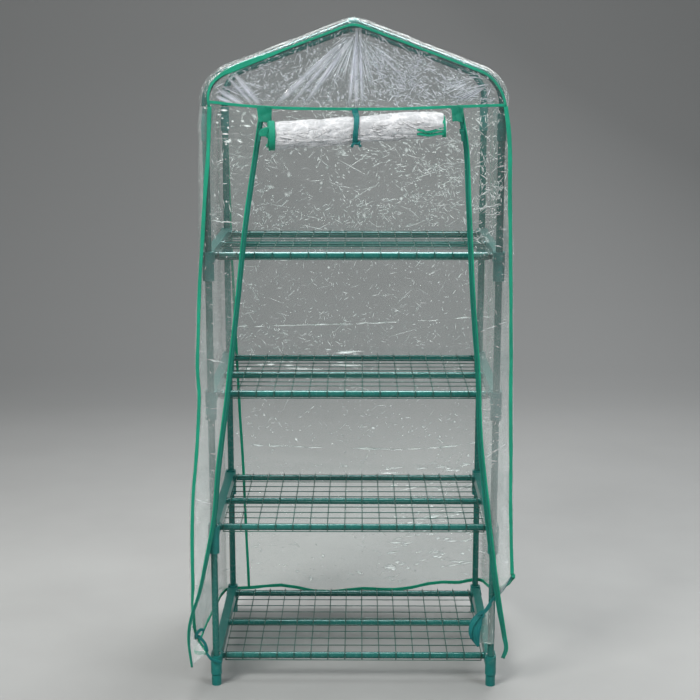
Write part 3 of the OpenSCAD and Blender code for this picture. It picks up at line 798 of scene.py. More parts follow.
# left side, rear and right side take the first, middle and last shares of the sheet's length
L0, L1, R0, R1 = 0.015, 0.29, 0.71, 0.985
marks = scatter(rng, WALL, [
    # the upper rear is creased all over, most of all at the right; the marks are painted glints,
    # most with painted shade along one flank
    (900, (L1, R0), (0.0, 0.25), (4, 26), SLANT,
     ((2.0, 4.2), (0.35, 1.0), (0.0, 0.35)), dict(spread=0.2, group=7)),
    (700, (0.46, R0), (0.02, 0.23), (5, 30), SLANT,
     ((2.0, 4.4), (0.4, 1.0), (0.0, 0.35)), dict(spread=0.2, group=9, gather=11)),
    (300, (L1, R0), (0.0, 0.33), (8, 46), SLANT,
     ((1.8, 3.4), (0.3, 0.9), (0.0, 0.3)), dict(spread=0.15)),
    # wide soft marks of painted sheen
    (60, (L1, R0), (0.0, 0.24), (8, 26), SLANT, ((7, 14), (0.2, 0.5), (0.0, 0.2), 0.9), {}),
    (44, (L1, R0), (0.24, 0.99), (6, 20), SLANT, ((5, 9), (0.3, 0.8), (0.0, 0.2), 0.9), {}),
    (60, (L1, R0), (0.0, 0.26), (40, 110), (0.35, -0.5, 0.8, -0.2, 0.1),
     ((2.0, 3.2), (0.3, 0.8), (0.0, 0.3)), dict(points=9)),
    (1100, (L1, R0), (0.2, 0.5), (3, 26), ANY,
     ((2.0, 4.0), (0.4, 1.0), (0.0, 0.3)), dict(group=4, gather=20)),
    (700, (L1, R0), (0.0, 0.98), (2.5, 7), ANY, ((2.0, 3.6), (0.4, 1.0), (0.0, 0.2)), {}),
    (60, (L1, R0), (0.22, 0.62), (30, 100), (-0.9, 0.7, 0.1, -0.3),
     ((1.8, 3.0), (0.3, 0.8), (0.0, 0.2)), dict(points=9)),
    (520, (L1, R0), (0.46, 0.74), (4, 26), LEVEL + (0.8, -0.8),
     ((2.0, 4.0), (0.4, 1.0), (0.0, 0.2)), dict(group=4, gather=16)),
    (220, (L1, R0), (0.72, 0.99), (5, 36), LEVEL,
     ((2.0, 4.0), (0.4, 1.0), (0.0, 0.1)), dict(group=3)),
    # long bright painted glints low on the rear, and along a level fold
    (130, (0.545, 0.7), (0.74, 0.97), (14, 90), (0.05, 0.12, -0.03),
     ((3.0, 7.5), (0.5, 1.0), (0.0, 0.1), 0.5), dict(spread=0.06, points=8)),
    (26, (L1, 0.5), (0.49, 0.56), (20, 120), (0.0, 0.04),
     ((4.0, 8.5), (0.7, 1.0), (0.0, 0.1), 0.5), dict(spread=0.05, points=8)),
])
# the sides: sparse specks of painted glint lower down, a web of fine creases drawn as painted
# glints near the eaves
for part, top in (((L0, L1), 120), ((R0, R1), 460)):
    marks += scatter(rng, WALL, [
        (top, part, (0.0, 0.3), (5, 44), ANY, ((2.0, 4.2), (0.4, 1.0), (0.0, 0.3)), dict(group=5)),
        (150, part, (0.25, 0.99), (3, 24), ANY, ((2.0, 4.0), (0.4, 1.0), (0.0, 0.2)),
         dict(group=3)),
    ])
# packing folds: broken lines running level round the cover, drawn as painted glints
for t, s0, s1 in ((0.44, 0.29, 0.71), (0.695, 0.3, 0.71), (0.44, 0.72, 0.98), (0.2, 0.72, 0.98)):
    p = strokes(rng, int((s1 - s0) * 60), (s0, s1), (t - 0.0012, t + 0.0012), WALL, (30, 80),
                (0.0, 0.02), spread=0.02, curl=0.03, points=7)
    p[..., 1] += 0.006 * np.sin(9 * p[..., 0] + 40 * t)
    marks.append(ink(rng, p, (3.0, 5.0), (0.6, 1.0), (0.0, 0.15)))
on_side = np.clip((np.abs(share - 0.5) - 0.2) / 0.03, 0, 1)
wall_haze = 0.02 + on_side * np.interp(v_coord, (0.3, 0.9, 1.2), (0.06, 0.03, 0.01))
wall_pts = film_sheet("wall_film", ring, wall_uv, M_FILM, (7, 3.0, 1.6, 0.7), 3, marks,
                      outward=0.62, haze=wall_haze.ravel(), fade=(0.03, 0, 0.02, 0.02),
                      flattens=True)

# ---- roof film

bow_p, bow_n = bow_line(190)
# how far the film stands off the bow's centre line: at the end panels, and over the roof
EDGE_D, ROOF_D = -1.5, 12
BEND = 15
around = np.linspace(0, math.pi / 2, 8)
ends = np.stack([BEND * (1 - np.cos(around)), EDGE_D + (ROOF_D - EDGE_D) * np.sin(around)], 1)
# y and stand-off, from the front edge over the roof to the rear edge
d_path = list(ends + (FRONT, 0))
for y in np.linspace(-PY, PY, 60)[1:-1]:
    d_path.append((y, ROOF_D - 4.0 * math.sin(math.pi * (y + PY) / (2 * PY)) ** 0.8))
d_path += list((ends * (-1, 1) + (REAR, 0))[::-1])
d_path = resample(d_path, 104)


def drawn_in(q, share=1.0):
    """The seam pulls the film in a little at the two eave corners of an end panel."""
    q = np.array(q, float)
    low = share * np.clip((1425 - q[:, 1]) / 49, 0, 1)
    q[:, 0] *= 1 + np.where(q[:, 0] < 0, -0.028, 0.022) * low
    return q


roof = np.zeros((len(d_path), len(bow_p), 3))
for i, (y, d) in enumerate(d_path):
    q = drawn_in(bow_p + bow_n * d, np.clip((FRONT + BEND - y) / BEND, 0, 1))
    roof[i] = np.stack([q[:, 0], np.full(len(q), y), q[:, 1]], 1)
roof_uv = np.stack(np.meshgrid(arc_length(bow_p) * MM, arc_length(d_path) * MM), -1)
rng = np.random.RandomState(31)
ROOF = (860.0, 560.0)
# painted glints over the roof; along its front edge painted highlights with painted shade between,
# and down the middle a crease of painted glints
marks = scatter(rng, ROOF, [
    (420, (0.01, 0.99), (0.03, 0.97), (5, 50), ANY, ((2.0, 4.2), (0.3, 1.0)), dict(group=5)),
    (90, (0.02, 0.98), (0.012, 0.06), (8, 60), (0.0, 0.05, -0.05),
     ((2.0, 4.6), (0.3, 1.0), (0.4, 1.0), 0.0), dict(spread=0.06, points=7)),
    (90, (0.02, 0.98), (0.008, 0.07), (4, 20), ANY, ((2.0, 4.0),), {}),
    (14, (0.497, 0.503), (0.03, 0.97), (30, 80), (math.pi / 2,),
     ((3, 5), (0.4, 0.9)), dict(spread=0.03, curl=0.03)),
])
roof_pts = film_sheet("roof_film", roof, roof_uv, M_FILM_ROOF, (4, 2.0, 1.4, 0.7), 5, marks,
                      "cover_film", outward=0.5, haze=0.01, fade=(0.04, 0.04, 0.03, 0.03),
                      flattens=True)

# ---- gable panels

EAVE = np.array([(-320, 1386), (-202, 1375), (0, 1370), (191, 1374), (334, 1379)], float)


def eave_height(x):
    return np.interp(x, EAVE[:, 0], EAVE[:, 1])


def gable_top(x):
    q = drawn_in(bow_p + bow_n * (EDGE_D - 1))
    order = np.argsort(q[:, 0])
    return np.interp(x, q[order, 0], q[order, 1])


def gable(name, y, seed, low):
    """An end panel between the bow and the height that low gives at x."""
    x0, x1, rows = -317, 330, 46
    front = y < 0
    xs = np.linspace(x0, x1, 170)
    base = np.array([low(x) for x in xs])
    top = np.maximum(gable_top(xs), base + 0.5)
    t = np.linspace(0, 1, rows)[:, None]
    grid = np.stack([np.broadcast_to(xs, (rows, len(xs))), np.full((rows, len(xs)), y),
                     top + (base - top) * t], -1)
    uv = grid[..., [0, 2]] * MM + (0.4, 0)

    def on_panel(lines):
        """Straight marks given by their two ends (x, z) in mm, with a little sag."""
        lines = np.array(lines, float)
        u = np.linspace(0, 1, 8)[None, :]
        reach = lines[:, 2:3] - lines[:, 0:1]
        x = lines[:, 0:1] + reach * u
        z = lines[:, 1:2] + (lines[:, 3:4] - lines[:, 1:2]) * u
        z = z + 0.03 * reach * (u * u - u)
        high, low_ = np.interp(x, xs, top), np.interp(x, xs, base)
        return np.stack([(x - x0) / (x1 - x0), (high - z) / (high - low_)], -1)

    def ray(x, z, side, angles, near, far):
        """A mark pointing away from (x, z)."""
        a = math.radians(rng.uniform(*angles))
        r0 = rng.uniform(*near)
        r1 = r0 + rng.uniform(*far)
        return (side * (x + r0 * math.cos(a)), z + r0 * math.sin(a),
                side * (x + r1 * math.cos(a)), z + r1 * math.sin(a))

    rng = np.random.RandomState(seed)
    size = (636.0, 130.0)
    # painted glints all over the panel, and soft patches of painted sheen
    marks = scatter(rng, size, [
        (560, (0.02, 0.98), (0.03, 0.97), (4, 30), ANY, ((2.0, 4.2), (0.3, 1.0)), dict(group=5)),
        (70, (0.02, 0.98), (0.03, 0.97), (8, 24), ANY,
         ((5, 10), (0.15, 0.45), (0.0, 0.3), 0.9), {}),
    ])
    # creases fan out from the apex and from both shoulders, drawn as painted glints
    fan = [ray(4, 1543, 1, (-150, -30), (4, 60), (25, 130)) for _ in range(46)]
    fan += [ray(-308, 1428, s, (-70, -12), (2, 40), (20, 110)) for s in (-1, 1) for _ in range(24)]
    marks.append(ink(rng, on_panel(fan), (2.4, 5.0), (0.3, 1.0)))
    if front:
        # broad pleats of painted sheen, each with a painted glint and painted shade along it
        wide = [(2, 1530, -104, 1386), (-8, 1526, -140, 1380), (-24, 1514, -174, 1378),
                (8, 1545, -10, 1376), (6, 1545, 6, 1375), (14, 1543, 20, 1376),
                (-262, 1446, -206, 1379), (-276, 1438, -222, 1380), (-298, 1412, -244, 1380),
                (-304, 1398, -266, 1382)]
        marks.append(ink(rng, on_panel(wide), (12, 22), (0.36, 0.5), (0.0, 0.15), 0.95))
        marks.append(ink(rng, on_panel(wide), (3, 4.5), (0.8, 1.0), (0.3, 0.6)))
        # denser painted glints over the right half
        marks += scatter(rng, size, [
            (420, (0.52, 0.72), (0.12, 0.95), (5, 34), SLANT, ((2.0, 4.4), (0.5, 1.0)),
             dict(spread=0.2, group=7)),
            (200, (0.7, 0.98), (0.25, 0.95), (5, 34), LEVEL, ((2.0, 4.0), (0.4, 1.0)),
             dict(spread=0.3, group=5)),
        ])
    film_sheet(name, grid, uv, M_FILM_GABLE, (3.0, 1.6, 1.4, 0.7), seed, marks, outward=0.35,
               sign=1.0 if front else -1.0, fade=(0.1, 0.1, 0.02, 0.02), flattens=not front)


gable("front_gable_film", FRONT + 0.2, 41, eave_height)
gable("rear_gable_film", REAR - 0.2, 47, lambda x: WALL_TOP - 1)

# ---- door-side strips

SEAM_TOP, ZIP_TOP = 1380, 1368


def zip_path(table, forward):
    """A zip's line; below the lowest shelf but one it swings forward, by forward mm at its end."""
    pull = np.clip((420 - table[:, 1]) / 360, 0, None) ** 1.6 * forward
    return smooth_path(np.stack([table[:, 0], FRONT - 2.4 - pull, table[:, 1]], 1), 5.0)


def zip_at(path, z):
    """x and y of a zip at height z."""
    return [np.interp(z, path[::-1, 2], path[::-1, k]) for k in (0, 1)]


ZIP_PATH_L = zip_path(ZIP_L, 26)
ZIP_PATH_R = zip_path(ZIP_R, 10)


def strip_sheet(name, side, seam, path, z_low_seam, z_low_zip, seed):
    """The film between a corner seam and its zip, bowed forward a little."""
    rows, cols, bow = 250, 30, 2.5
    grid = np.zeros((rows, cols, 3))
    for r, t in enumerate(np.linspace(0, 1, rows)):
        zs = SEAM_TOP + (z_low_seam - SEAM_TOP) * t
        zz = ZIP_TOP + (z_low_zip - ZIP_TOP) * t
        xs = side * seam_x(seam, min(zs, WALL_TOP))
        xz, yz = zip_at(path, zz)
        c = np.linspace(0, 1, cols)
        x = xs + (xz - xs) * c
        y = FRONT + (yz + 1.6 - FRONT) * c ** 1.3 - bow * np.sin(np.pi * c) * min(1, 3 * t)
        z = zs + (zz - zs) * c
        grid[r] = np.stack([x, y, z], 1)
    uv = np.stack([grid[..., 0] * MM + 0.5 + side, grid[..., 2] * MM], -1)
    veil = np.interp(grid[..., 2], (300, 700, 1050), (0.13, 0.08, 0.01))
    rng = np.random.RandomState(seed)
    # the strip's marks are painted glints: creases near the top, specks lower down, a few bright
    # painted highlights high on the left strip, and level folds
    rows_of_marks = [
        (60 if side < 0 else 400, (0.03, 0.97), (0.0, 0.28), (4, 34), ANY,
         ((2.0, 4.0), (0.5, 1.0), (0.0, 0.3)), dict(group=4)),
        (90, (0.03, 0.97), (0.25, 0.99), (3, 18), ANY, ((2.0, 3.4), (0.4, 1.0), (0.0, 0.2)), {}),
    ]
    if side < 0:
        rows_of_marks.append((16, (0.05, 0.85), (0.012, 0.07), (6, 26), LEVEL,
                              ((3.5, 7.5), (0.8, 1.0), (0.0, 0.2), 0.6), dict(group=2)))
    for t in (0.195, 0.44, 0.70):
        rows_of_marks.append((5, (0.2, 0.8), (t, t + 0.002), (20, 70), (0.0, 0.1),
                              ((2.6, 4.5), (0.5, 1.0)), dict(spread=0.05, curl=0.05)))
    film_sheet(name, grid, uv, M_FILM, (3.5, 2.0, 1.1, 0.6), seed,
               scatter(rng, (110.0, 1300.0), rows_of_marks), haze=veil.ravel(), sign=-side,
               fade=(0.03, 0, 0.15, 0.15))


strip_sheet("left_door_strip", -1, SEAM_L, ZIP_PATH_L, 87, 66, 51)
strip_sheet("right_door_strip", 1, SEAM_R, ZIP_PATH_R, 285, 224, 53)

# ---- bindings

X = np.array([1.0, 0, 0])
Z = np.array([0, 0, 1.0])


def ribbon(path, side, width, thick, lump=0.35, seed=1, grow=(1, 1)):
    """A sewn tape along path; grow scales its width from one end to the other."""
    n = fbm(np.asarray(path) * MM, 26, seed, 2)
    scale = 1 + (n - 0.5)[:, None, None] * lump
    wide = scale * spread_along(path, grow)[:, None, None]
    prof = np.array(ribbon_profile(width, thick))[None]
    return sweep(path, side, prof * np.concatenate([wide, 1 + (scale - 1) * 0.8], -1))


def sewn(name, pieces, mat, *nodes, slot="binding", flattens=False):
    """One cover piece made of swept tapes."""
    v, f, u = merge(pieces)
    cover(make_mesh(name, v, f, mat, u), slot, *nodes, flattens=flattens)


# front and rear gable bindings: just inside the bow's outline
for tag, y, seed in (("front", FRONT - 0.6, 61), ("rear", REAR + 0.6, 63)):
    q = drawn_in(bow_p + bow_n * EDGE_D)
    path = smooth_path(np.stack([q[:, 0], np.full(len(q), y), q[:, 1]], 1)[::3], 5)
    side = np.stack([spread_along(path, bow_n[:, 0]), np.zeros(len(path)),
                     spread_along(path, bow_n[:, 1])], 1)
    path = wobble(path, side, 2.2, 9, seed)
    # the tape is bunched at the left shoulder
    tape = ribbon(path, side, 5.6, 2.4, seed=seed,
                  grow=(1.1, 1.1, 2.5, 1.8, 0.8, 0.9, 0.95, 1.0, 0.95, 0.9, 0.95, 1.0, 0.95, 1.0))
    sewn(tag + "_gable_edge", [tape], M_BIND, tag + "_gable_binding", flattens=tag == "rear")

# front eave band
path = wobble(smooth_path([(x, FRONT - 1.2, z) for x, z in EAVE], 5), Z, 1.2, 8, 65)
sewn("front_eave_edge", [ribbon(path, Z, 6.4, 2.2, seed=65)], M_BIND, "front_eave_binding")

# corner bindings follow the film's own corner columns
corners = []
for col, sign, seed in ((0, -1, 67), (COLS - 1, 1, 69)):
    path = smooth_path(np.vstack([ring[:-6:12, col], ring[-1:, col]]) + (0, -0.8, 0), 5)
    corners.append(ribbon(wobble(path, X, 1.6, 7, seed), (0.9, 0.3 * sign, 0), 8.8, 2.6, seed=seed,
                          grow=(1.25, 1.1, 1, 0.95, 1, 1, 1, 0.95)))
sewn("front_corner_edges", corners, M_BIND, "front_corner_bindings")

# rear corner bindings
rear = []
for line, seed in (([(-330, 1376), (-322, 1050), (-312.5, 738), (-305, 534), (-299, 395),
                     (-294, 226), (-288, 60)], 71),
                   ([(336, 1376), (337, 1000), (337, 700), (336, 400), (334, 90)], 73)):
    path = wobble(smooth_path([(x, REAR + 3.2, z) for x, z in line], 5), X, 1.2, 7, seed)
    rear.append(ribbon(path, X, 7.2, 2.0, seed=seed))
sewn("rear_corner_edges", rear, M_BIND_PAINTED_LIGHTER, "rear_corner_bindings", flattens=True)

# hem binding: the wall film's bottom row
sewn("hem_edge", [ribbon(resample(wall_pts[-1], 330), Z, 9.0, 2.4, seed=75)], M_BIND_PAINTED_LIGHTER,
     flattens=True)

# eave seams along the sides, where wall meets roof
for tag, col in (("left", 0), ("right", -1)):
    line = smooth_path(roof_pts[6:-6:4, col], 6)
    sewn(tag + "_eave_seam", [ribbon(line, Z, 7, 1.6, seed=77)], M_FILM, slot="film",
         flattens=True)

# ---- zips

# one tooth: its corners along the tape's side, along the zip and out of it, and its faces
TOOTH = ((-1.7, -0.75, 0.6), (1.7, -0.75, 0.6), (1.7, 0.75, 0.6), (-1.7, 0.75, 0.6),
         (-1.2, -0.5, 2.2), (1.4, -0.5, 2.2), (1.4, 0.5, 2.2), (-1.2, 0.5, 2.2))
TOOTH_FACES = [(0, 1, 2, 3), (7, 6, 5, 4), (0, 4, 5, 1), (1, 5, 6, 2), (2, 6, 7, 3), (3, 7, 4, 0)]
TOOTH_PITCH = 2.4


def teeth(path, side, z_low):
    upper = path[path[:, 2] > z_low]
    p = resample(upper, int(arc_length(upper)[-1] / TOOTH_PITCH))
    t = tangents(p)
    s = unit(side - (side * t).sum(1, keepdims=True) * t)
    out = []
    for at, along, across in zip(p + s * 2.2, t, s):
        block = [at + across * a + along * b + np.array([0, -1.0, 0]) * d for a, b, d in TOOTH]
        out.append((np.array(block), TOOTH_FACES, np.zeros((8, 2))))
    return merge(out)


# below the knee the tape turns towards edge-on, and the right one widens again at its loose end
for tag, path, sign, z_low, grow in (
        ("left", ZIP_PATH_L, 1, 120, (1, 1, 1, 1, 1, 1, 1.05, 0.95, 0.8, 0.62, 0.4)),
        ("right", ZIP_PATH_R, -1, 130, (1, 1, 1, 1, 1, 0.95, 1.0, 1.15, 1.2, 1.2, 1.15, 0.8))):
    body = wobble(path, X, 1.0, 8, 81)
    shift = X * (-sign * 5.2) * spread_along(body, grow)[:, None] + (0, -0.7, 0)
    sewn(tag + "_zip_band", [ribbon(body, X, 11.4, 1.7, lump=0.18, seed=83, grow=grow)], M_ZIP,
         tag + "_zip_tape", slot="zip")
    sewn(tag + "_zip_piping", [ribbon(body + shift, X, 3.2, 2.2, lump=0.3, seed=85,
                                      grow=(1, 1, 1, 1, 0.9, 0.5))], M_BIND)
    v, f, u = teeth(body, X * sign, z_low)
    cover(make_mesh(tag + "_zip_teeth", v, f, M_SLIDER, u, smooth=False), "zip")

# folded reinforcing patches at the zip tops
for tag, x0, wide, tall in (("left", -197, 35, 36), ("right", 228, 28, 34)):
    a, b = np.meshgrid(np.linspace(0, 1, 14), np.linspace(0, 1, 12), indexing="ij")
    x = x0 + (b - 0.5) * wide * (1 - 0.18 * a) + 1.5 * a
    z = 1377 - tall * a + 1.2 * np.sin(5 * b)
    y = (FRONT - 3.4 - 4.5 * np.abs(a - b) - 3.0 * np.abs(np.sin(5 * b - 3 * a + 0.6)) ** 0.6
         - 2.0 * np.abs(np.sin(4 * a + 2 * b)))
    grid = np.stack([x, y, z], -1)
    ob = make_mesh(tag + "_zip_patch", grid.reshape(-1, 3), grid_faces(*a.shape), M_PATCH,
                   grid[..., [0, 2]].reshape(-1, 2) * MM)
    thicken(ob, 1.2, -1.0)
    sub = ob.modifiers.new("smooth", "SUBSURF")
    sub.levels = sub.render_levels = 1
    cover(ob, "binding", *(("zip_patches",) if tag == "left" else ()))

# ---- rolled door

lo, hi = node_box("rolled_door")
ROLL_Y = (lo[1] + hi[1]) / 2
tie_lo, tie_hi = node_box("door_tie")
TIE_X = (tie_lo[0] + tie_hi[0]) / 2


def roll_centre(x):
    return np.interp(x, [-200, -100, TIE_X, 100, 205], [1313, 1318, 1327, 1335, 1337])


def roll_radius(x):
    """The roll's radius, a little less where it is tied and at its ends."""
    return np.interp(x, [-200, -170, -60, TIE_X - 14, TIE_X, TIE_X + 14, 90, 180, 205],
                     [27, 31, 31.5, 31, 29.5, 31, 31.5, 30, 24])


along_x, turn = np.meshgrid(np.linspace(-178, 196, 190),
                            np.linspace(0, 2 * math.pi, 120, endpoint=False), indexing="ij")
where = np.stack([along_x * MM, np.cos(turn) * 0.033, np.sin(turn) * 0.033], -1)
stretched = where * (0.55, 1, 1)
dents = fbm(stretched, 34, 91, 3)
folds = ridge(stretched, 46, 93, 3)
fine = ridge(where, 95, 95, 3)
# the outer wrap ends in a lip low on the front
LIP_AT = 3.78
lip = np.exp(-((turn - (3.75 + 0.0015 * along_x)) / 0.05) ** 2)
rad = roll_radius(along_x) * (1 + 0.035 * np.cos(2 * turn + along_x * 0.01)
                              + 0.02 * np.cos(3 * turn - along_x * 0.02))
rad = rad + (dents - 0.6) * 7.0 - folds * 2.8 - fine * 1.4
rad = rad - 1.6 * np.clip((turn - LIP_AT) / 2.2, 0, 1) * (turn > LIP_AT) + lip * 0.6
rad = np.minimum(rad, 32.5)
skin = np.stack([along_x, ROLL_Y + rad * np.cos(turn), roll_centre(along_x) + rad * np.sin(turn)],
                -1)
outward = np.stack([0 * along_x, np.cos(turn), np.sin(turn)], -1)
UP = math.pi / 2
# painted glints along the roll's crumples, most with painted shade beside them, and bright painted
# highlights along its middle
marks = scatter(np.random.RandomState(151), (200.0, 374.0), [
    (150, (0.45, 0.95), (0.02, 0.98), (10, 60), (UP, UP + 0.15, UP - 0.2),
     ((3, 8), (0.3, 0.9), (0.2, 0.9)), dict(spread=0.15)),
    (160, (0.45, 0.98), (0.02, 0.98), (6, 30), ANY, ((2, 5), (0.3, 0.9), (0.3, 0.9)), {}),
    (40, (0.62, 0.8), (0.04, 0.96), (20, 60), (UP, UP + 0.1),
     ((6, 12), (0.7, 1.0), (0.0, 0.3), 0.8), dict(spread=0.1)),
])
# painted glints: the roll's folds and the lip of its outer wrap are whitened
painted_glint = np.clip(folds * 0.3 + fine * 0.2 + lip * 0.3, 0, 1).ravel()
ob = marked_sheet("door_roll", skin, outward, np.stack([along_x * MM + 0.4, turn * 0.032], -1),
                  M_ROLL, marks, crease=painted_glint, close=True)
thicken(ob, 0.6, -1.0)
cover(ob, "film", "rolled_door")


def spiral(x, r0, r1, turns, phase):
    t = np.linspace(0, 1, 110)
    a = phase + t * turns * 2 * math.pi
    r = r0 + (r1 - r0) * t
    return np.stack([x + 2.5 * np.sin(a * 0.7), ROLL_Y + r * np.cos(a),
                     roll_centre(x) + r * np.sin(a)], 1)


# the inner turns, seen at the roll's ends, hazy and whitened a little by painted glint
v, f, u = merge([sweep(spiral(x, 9, r1, turns, phase), X, ribbon_profile(14, 0.9))
                 for x, r1, turns, phase in ((-176, 27, 3.2, 0.3), (194, 24, 2.6, 1.2))])
ob = make_mesh("door_roll_layers", v, f, M_ROLL, u,
               {"crease": np.full(len(v), 0.2), "shade": np.zeros(len(v)),
                "haze": np.full(len(v), 0.4)})
cover(ob, "film")

# the hem binding shows at the ends of the roll as green loops
wraps = np.linspace(0, 1.75, 120)
phase = 0.6 + wraps * 2 * math.pi
slip = 9 * np.clip(wraps - 0.9, 0, 1)
p = np.stack([-180 - 3.5 * np.cos(phase) - slip, ROLL_Y + (31.5 - slip) * np.cos(phase),
              roll_centre(-177) + (31.5 - slip) * np.sin(phase)], 1)
loops = [ribbon(p, X, 13, 2.4, seed=96, grow=(1, 1, 1, 1, 0.8, 0.6))]
# its loose end stands out to the left as a small tongue
p = smooth_path([(-184, ROLL_Y - 26, 1322), (-192, ROLL_Y - 28, 1323),
                 (-200, ROLL_Y - 28, 1320), (-205, ROLL_Y - 26, 1317)], 2)
loops.append(ribbon(p, Z, 20, 2.4, seed=98, grow=(1.3, 1.1, 0.8, 0.4)))
loops.append(ribbon(spiral(196, 14, 27, 1.4, 3.6), X, 9, 2.2, seed=99))
# and, at the right, through its outer turn
x = np.linspace(138, 197, 30)
for drop, width, seed in ((-7, 13, 100), (-18, 7, 102)):
    a = math.pi - math.asin(drop / 31)
    p = np.stack([x, ROLL_Y + (roll_radius(x) - 3.5) * math.cos(a),
                  roll_centre(x) + drop + 1.2 * np.sin(x / 7)], 1)
    loops.append(ribbon(p, Z, width, 1.2, lump=0.8, seed=seed, grow=(0.6, 1, 1.1, 0.9, 1)))
sewn("door_roll_binding", loops, M_BIND)


def knot(x, y, z, wide, deep, tall, n):
    """A small tied knot: a round cord in a figure of eight."""
    a = np.linspace(0, 2 * math.pi, n)
    path = np.stack([x + wide * np.cos(a), y + deep * np.sin(2 * a), z + tall * np.sin(a)], 1)
    return sweep(path, (0, 1, 0), circle_profile(2.6))


# tie strap round the roll, hung from the eave band and knotted underneath
a = np.linspace(-0.32 * math.pi, 1.62 * math.pi, 60)
r = roll_radius(TIE_X) + 2.6
top, low = roll_centre(TIE_X) + r, roll_centre(TIE_X) - r
loop = np.stack([TIE_X + 2.0 * np.sin(a * 1.3), ROLL_Y - r * np.cos(a),
                 roll_centre(TIE_X) + r * np.sin(a)], 1)
up = smooth_path([(TIE_X - 3, FRONT - 3.0, 1372), (TIE_X - 1, FRONT - 5, 1362),
                  (TIE_X, ROLL_Y + 6, top + 0.5), (TIE_X + 2, ROLL_Y - 14, top - 6)], 3)
strap = [ribbon(loop, X, 11, 1.8, seed=101), ribbon(up, X, 14, 1.8, seed=103),
         knot(TIE_X + 2, ROLL_Y - 18, low + 7, 6.0, 3.0, 4.5, 26)]
for dx, dz in ((-9, -5), (11, -4)):
    tail = smooth_path([(TIE_X + 2, ROLL_Y - 19, low + 6), (TIE_X + dx * 0.6, ROLL_Y - 21, low + 3),
                        (TIE_X + dx, ROLL_Y - 19, low + dz)], 2)
    strap.append(ribbon(tail, X, 6, 1.4, seed=105))
sewn("door_tie_strap", strap, M_TIE, "door_tie", slot="zip")

# ---- hem ties

# points with y measured from the front, sampling step, side, width, thickness, what ribbon takes
TIES = [
    # left: a loose end curling out of the corner, and a short strap round the post
    ([(-378, -5, 124), (-372, -9, 140), (-362, -8, 149), (-355, -5, 144)], 2, Z, 8, 1.4,
     dict(seed=111)),
    ([(-377, -4, 132), (-366, -6, 128), (-354, -5, 112), (-349, -3, 92)], 2, X, 8, 1.4,
     dict(seed=113)),
    ([(-351, -3, 88), (-341, -5, 74), (-328, -5, 68), (-316, -2, 62)], 2, Z, 7, 1.4,
     dict(seed=114)),
    # right: the hem drawn together and tied, a leaf of folded tape below the knot
    ([(307, -1.7, 196), (294, -7.7, 174), (288, -10.7, 152), (290, -8.7, 132), (298, -3.7, 108)],
     3, X, 22, 9.0, dict(lump=0.2, seed=115, grow=(0.3, 0.9, 1.3, 1.35, 1.2, 0.8, 0.3))),
    ([(303, -8.7, 190), (284, -14.7, 170), (277, -16.7, 150), (280, -14.7, 130)],
     3, X + 0.4 * Z, 9, 2.4, dict(lump=0.3, seed=117, grow=(0.6, 1, 1, 0.5))),
    ([(374, 2, 280), (352, 2, 246), (331, 1, 221), (316, -4, 200), (304, -7.7, 188),
      (297, -9.7, 180)],
     3, X - Z, 8.5, 2.2, dict(lump=0.4, seed=119, grow=(0.5, 0.7, 1.0, 1.1, 1.0, 0.8))),
]
ties = [ribbon(smooth_path([(x, FRONT + y, z) for x, y, z in line], step), *tape, **more)
        for line, step, *tape, more in TIES]
ties.append(knot(303, -257, 187, 5.5, 2.0, 4, 22))
sewn("hem_tie_straps", ties, M_TIE, "hem_ties", slot="zip")

# the film corner folded in behind the tie
t, s = np.meshgrid(np.linspace(0, 1, 40), np.linspace(0, 1, 22), indexing="ij")
top = 176 + 47 * s
grid = np.stack([301 + (32 + 2 * t) * s,
                 -250 + 3.0 * np.sin(4.5 * s + 1.0) * t + 1.4 * np.sin(11 * s + 3 * t),
                 top + (112 - top) * t], -1)
# painted glints on the folded corner: fine creases, a bright cluster near its top left corner and a
# painted highlight along its bottom edge
marks = scatter(np.random.RandomState(123), (32, 90), [
    (9, (0.05, 0.95), (0.05, 0.95), (8, 30), (1.3, 1.6, 1.0), ((2.0, 3.4), (0.3, 0.7)), {}),
    (7, (0.03, 0.16), (0.0, 0.12), (8, 14), (0.4, 1.2), ((5, 7), (0.9, 1.0)), {}),
    (6, (0.3, 0.7), (0.965, 0.985), (12, 20), (0.0,), ((2.5, 3.5), (0.7, 1.0)),
     dict(spread=0.03, curl=0.05)),
])
film_sheet("folded_corner_film", grid, grid[..., [0, 2]] * MM, M_FLAP, (2, 1, 1, 0.6), 121, marks,
           outward=0.1)

# ---- stage, light, camera

def stage_material():
    n = Nodes("studio_floor")
    co = n.add("TexCoord").outputs["Object"]
    f = n.noise(co, 3, 3, 0.5)
    depth = n.add("SeparateXYZ", Vector=co).outputs[1]
    far = n.ramp(depth, 0.6, 3.0)
    col = n.mix(n.ramp(f, 0.3, 0.7), (0.31, 0.315, 0.31, 1), (0.335, 0.34, 0.335, 1))
    col = n.mix(far, col, (0.19, 0.195, 0.195, 1))
    return n.surface(Base_Color=col, Roughness=0.9)


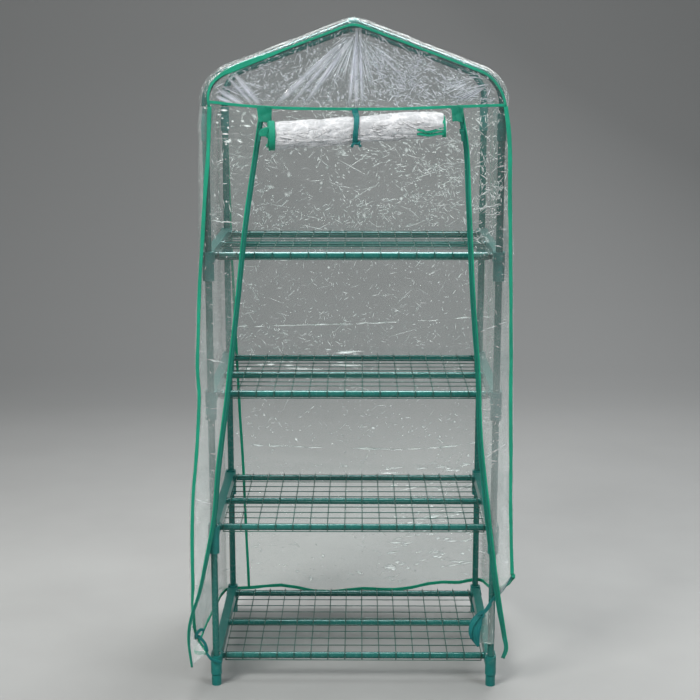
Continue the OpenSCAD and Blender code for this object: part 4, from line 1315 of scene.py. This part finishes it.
# floor and back wall in one, joined by a wide curve
CURVE_R, WALL_Y, HALF_W = 1.6, 4.2, 14.0
profile = [(-5.0, 0.0), (WALL_Y - CURVE_R, 0.0)]
profile += [(WALL_Y - CURVE_R + CURVE_R * math.sin(a), CURVE_R - CURVE_R * math.cos(a))
            for a in np.linspace(0.15, math.pi / 2, 10)]
profile += [(WALL_Y, 5.0)]
verts = np.array([(x, y, z) for x in (-HALF_W, HALF_W) for y, z in profile]) / MM
n = len(profile)
faces = [(i, i + 1, n + i + 1, n + i) for i in range(n - 1)]
make_mesh("studio_sweep", verts, faces, stage_material())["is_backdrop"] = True


def area(name, pos, target, size, power, colour=(1, 1, 1)):
    light = bpy.data.lights.new(name, "AREA")
    light.shape = "RECTANGLE"
    light.size, light.size_y = size
    light.energy = power
    light.color = colour
    ob = bpy.data.objects.new(name, light)
    bpy.context.scene.collection.objects.link(ob)
    ob.location = pos
    ob.rotation_euler = (Vector(target) - Vector(pos)).to_track_quat("-Z", "Y").to_euler()
    return ob


area("key", (-2.4, -2.6, 3.4), (0, 0, 0.8), (1.6, 1.6), 165, (1.0, 0.985, 0.96))
area("fill", (3.0, -2.4, 2.2), (0, 0, 0.8), (1.8, 2.2), 78, (0.95, 0.98, 1.0))
area("top", (0.2, 0.7, 3.9), (0, 0, 0.8), (3.0, 1.8), 125)
# an overhead panel seen only in the frame's reflections, for the light line along every tube
sky = area("sky_reflection", (0.0, 0.9, 4.2), (0, 0.9, 0), (3.6, 3.0), 540, (0.78, 0.94, 1.0))
sky.visible_diffuse = False
sky.visible_transmission = False
sky.visible_camera = False
frame_only = bpy.data.collections.new("frame_highlights")
for ob in bpy.context.scene.objects:
    if ob.type == "MESH" and {M_TUBE, M_SHEET, M_WIRE, M_MOULD} & set(ob.data.materials):
        frame_only.objects.link(ob)
sky.light_linking.receiver_collection = frame_only
area("rim", (1.6, 3.0, 2.8), (0, 0, 0.9), (1.6, 1.2), 60)

world = bpy.data.worlds.new("studio")
bpy.context.scene.world = world
world.use_nodes = True
backdrop = world.node_tree.nodes["Background"].inputs
backdrop[0].default_value = (0.78, 0.8, 0.82, 1)
backdrop[1].default_value = 0.25

cam = bpy.data.cameras.new("camera")
SENSOR = 36.0
cam.sensor_width = SENSOR
# focal length as a multiple of the picture's width
cam.lens = SENSOR * 1416 / 700
cam_ob = bpy.data.objects.new("camera", cam)
bpy.context.scene.collection.objects.link(cam_ob)
cam_ob.location = (0.0114, -3.421, 1.477)
cam_ob.rotation_euler = (math.radians(90 - 11.58), 0, math.radians(0.35))
bpy.context.scene.camera = cam_ob
bpy.context.scene.view_settings.view_transform = "Standard"
bpy.context.scene.cycles.transparent_max_bounces = 48

lo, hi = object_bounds()
